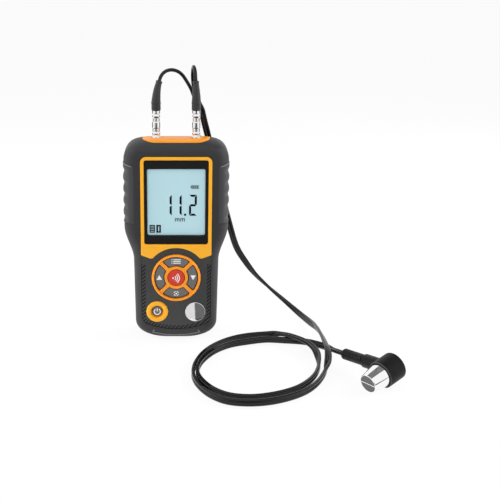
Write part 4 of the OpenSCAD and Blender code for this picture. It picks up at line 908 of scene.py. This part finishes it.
# Boots: tapered sleeves of black PVC, moulded over the end of each plug, that keep its lead from kinking.
# A small lip ends each one where the lead comes out. The skin is smooth and satin.
boot_pvc = moulded("moulded PVC, black", "#333335", 0.4, 0.4, 0.012, ior=1.36)
for name, route in (
        ("boot_left", [(-plug_x, 0, 165.1), (-plug_x, 0, 171.6), (-13.5, 0.3, 177.1), (-12.7, 0.7, 181.5),
                       (-11.6, 1.1, 185.3)]),
        ("boot_right", [(plug_x, 0, 165.1), (plug_x, 0, 171.6), (13.9, 0, 177.1), (13.7, 0.1, 181.5),
                        (13.5, 0.2, 185.3)])):
    line = eased(route, 0.4)
    radii = []
    for p in line:
        r = 3.25 - 1.3 * share(p.z, 170.5, 14.8) ** 1.1 + (0.12 if 170 < p.z < 171 else 0.0)
        radii.append(r + 0.28 if p.z > 184 else r)
    radii[0] -= 0.25
    radii[-1] -= 0.25
    sleeve = made(name + "_sleeve", boot_pvc, loft(round_rings(line, radii, 32)))
    settle(sleeve, "boot_rubber", name, sharp=40)

# Battery cover: a plate of charcoal ABS that swings out about its round lower edge, where two tabs hook into the
# back shell. Five grooves near its top show where to press, and a latch holds it there.
side_line = [(13.8, 64.6)] + arc(14.9, 13.1, 1.1, 180, 360, 16) + [(16.0, 64.6)]
tab_line = ((12.1, 9.8), (13.5, 9.8), (13.5, 12.4), (14.3, 12.4), (14.3, 14.5), (12.1, 14.5))
cover = made("battery_cover_plate", abs_grain, loft([[(x, y, z) for y, z in side_line] for x in (-19, 19)]))
carve(cover, prism(frame_line(38, 5, 64.6, 1, 3, 0.001), 10, 20), how="INTERSECT")
carve(cover, *[prism(bar(-8, 8, 57.05 - 2.4 * i, 58.15 - 2.4 * i), 15.5, 18) for i in range(5)])
softened(cover, 0.2, 2)
for x in (-tab_x, tab_x):
    carve(cover, loft([[(x + s, y, z) for y, z in tab_line] for s in (-3, 3)]), how="UNION")
carve(cover, prism(bar(-4, 4, 60.8, 63.0), 12.2, 14.3), how="UNION")
settle(evened(cover), "case_plastic", "battery_cover", body="battery_cover")

# Battery: three round cells in a bay, with a dark and a copper-coloured printed sleeve shrunk over their steel cans.
# The sleeves are glossy. Conical springs of nickel-plated wire press on the flat ends of the cells.
wrap_dark = moulded("printed PVC sleeve, black", "#2b2b2e", 0.3, 0.8, 0.005)
wrap_copper = moulded("printed PVC sleeve, copper", "#b9783a", 0.3, 0.8, 0.005)
can = [(4.6, 0), (5.0, 0.1), (5.2, 0.5), (5.2, 29), (5.2, 30), (5.2, 42.8), (5.0, 43.3), (4.4, 43.5), (1.9, 43.5),
       (1.9, 44.3), (1.6, 44.5)]
cell_pitch, cell_low, cell_high = 10.8, 18.4, 59.0
cells = made("battery_cells_sleeved", wrap_dark, *[
    turned(can, (cell_pitch * i, 8.1, cell_low if i else cell_high), (0, 0, 1 if i else -1), 40) for i in (-1, 0, 1)])


def from_end(p):
    return p.z / MM - cell_low if abs(p.x) > cell_pitch / 2 * MM else cell_high - p.z / MM


painted(cells, wrap_copper, lambda p: from_end(p) > 29.5)
painted(cells, nickel, lambda p: from_end(p) < 0.2 or from_end(p) > 43.4)
settle(cells, "cell_wrap", "battery_cells", sharp=32)
tree, given = node_tree("cone_springs", Turns="Float", Wide="Float", Narrow="Float", Rise="Float", Wire="Float")
coil = put(tree, "GeometryNodeCurveSpiral", {
    "Resolution": 28, "Rotations": given["Turns"], "Start Radius": given["Wide"], "End Radius": given["Narrow"],
    "Height": given["Rise"]})
wire = put(tree, "GeometryNodeCurvePrimitiveCircle", {"Resolution": 8, "Radius": given["Wire"]})
spring = put(tree, "GeometryNodeCurveToMesh", {"Curve": coil.outputs["Curve"], "Profile Curve": wire.outputs["Curve"],
                                               "Fill Caps": True})
flip = put(tree, "GeometryNodeInputNamedAttribute", {"Name": "flip"}, data_type="FLOAT")
pose = put(tree, "FunctionNodeAxisAngleToRotation", {"Axis": (1, 0, 0), "Angle": flip.outputs[0]})
on_points(tree, given, spring.outputs["Mesh"], Rotation=pose.outputs["Rotation"])
springs = grown("battery_springs_wire", tree, [(-cell_pitch, 7.5, 14.7), (0, 7.5, 62.7), (cell_pitch, 7.5, 14.7)],
                flips=(0.0, math.pi, 0.0), Turns=3.0, Wide=2.9 * MM, Narrow=1.7 * MM, Rise=3.4 * MM, Wire=0.3 * MM,
                Material=nickel)
settle(springs, "nickel", "battery_springs", sharp=60)

# Case screws: four pan-head steel screws with a cross recess, sunk into the back shell, that pull the halves
# together. They are cold headed and zinc plated, in a dull grey.
zinc = metal("zinc plate on steel", "#a9aaad", 0.3, 0.3, (1, 1, 1), 0.004)
profile = [(1.0, -15.0), (1.25, -14.4), (1.25, 0), (2.6, 0), (2.6, 0.7)] + rounded_end(0.9, 2.6, 0.7)[1:]
screw = made("screw", zinc, turned(profile, (0, 0, 0), (0, 1, 0), 32))
carve(screw, prism(bar(-1.5, 1.5, -0.35, 0.35), 0.7, 3))
carve(screw, prism(bar(-0.35, 0.35, -1.5, 1.5), 0.7, 3))
tree, given = node_tree("screws_on_points", Screw="Object")
shape = put(tree, "GeometryNodeObjectInfo", {"Object": given["Screw"]})
on_points(tree, given, shape.outputs["Geometry"])
screws = grown("case_screws_set", tree, [(x, 11.4, z) for x, z in screw_spots], Screw=screw, Material=zinc)
bpy.data.objects.remove(screw)
settle(screws, "screw_steel", "case_screws")

# Probe: a bright chromed brass cone with two delay lines in its face, pressed into a dull black cap, with a boot at
# its side. It lies on its edge on the table. A cork barrier parts the delay lines, and crystals and backing fill the
# cone.
chrome = metal("chrome plate on turned brass", "#f8f8f9", 0.07, 0.2, (1, 1, 1), 0.001)
cap_abs = moulded("moulded ABS, black", "#0c0c0d", 0.52, 0.4, 0.015, ior=1.3)
face_at = Vector((122, -105.5, 6.215059))
axis = Vector((0.77555731, 0.58442436, 0.2386609))
boot_way = Vector((-0.58291278, 0.80811462, -0.0846372))
cap_at = face_at + axis * 11.8
cone = [(5.8, 0.05), (6.2, 0), (6.4, 0.2), (8.18, 11.5), (8.1, 11.8), (7.2, 11.8), (7.2, 15.8), (5.8, 15.8)]
cone = made("probe_shell_cone", chrome, turned(cone, face_at, axis, 96, ring=True))
settle(cone, "probe_chrome", "probe_shell", sharp=32)
cup = [(1.0, 13.1), (7.3, 13.1), (7.3, 0), (8.75, 0), (9.3, 0.55), (9.3, 13.6)] + rounded_end(1.2, 9.3, 13.6)[1:]
cap = made("probe_cap_cup", cap_abs, turned(cup, cap_at, axis, 96))
# Painted highlight: the chamfer round the cap's front edge is drawn in the paler charcoal of the panel.
painted(cap, panel_abs_and_cap_highlight, lambda p: 0.05 < (p / MM - cap_at).dot(axis) < 0.5 and (p / MM - cap_at).length > 8.8)
settle(cap, "cap_plastic", "probe_cap", sharp=40)
stem = [(2.8, 8.2), (2.8, 8.4), (4.7, 7.7), (4.7, 20.6)] + rounded_end(0.7, 4.7, 20.6)[1:-1]
stem += [(3.2, 21.4), (3.2, 22.0), (3.8, 22.4)]
for at in (32.8, 35.2, 37.6):
    stem += [(3.8, at - 0.7), (3.5, at - 0.45), (3.4, at), (3.5, at + 0.45), (3.8, at + 0.7)]
stem += [(3.8, 39.4), (3.6, 39.85), (3.3, 40.0)]
jet_pvc = moulded("moulded PVC, jet", "#151516", 0.4, 0.4, 0.03, ior=1.32)
stem = made("probe_boot_sleeve", jet_pvc, turned(stem, face_at + axis * 21, boot_way, 64))
carve(stem, turned([(9.32, 0), (9.32, 14.8)], cap_at, axis, 96))
settle(stem, "boot_rubber", "probe_boot", sharp=40)
finishes(("delay_lines", "cast polystyrene, smoke grey", "#4d4d4c", 0.25, 0.8, 0.004),
         ("acoustic_barrier", "pressed cork", "#d8d6d0", 0.8, 0.3, 0.05, 0.1),
         ("crystals", "sintered ceramic, buff", "#c8b27a", 0.6, 0.2, 0.02),
         ("probe_backing", "loaded epoxy, brown", "#54504a", 0.7, 0.2, 0.03, 0.2))
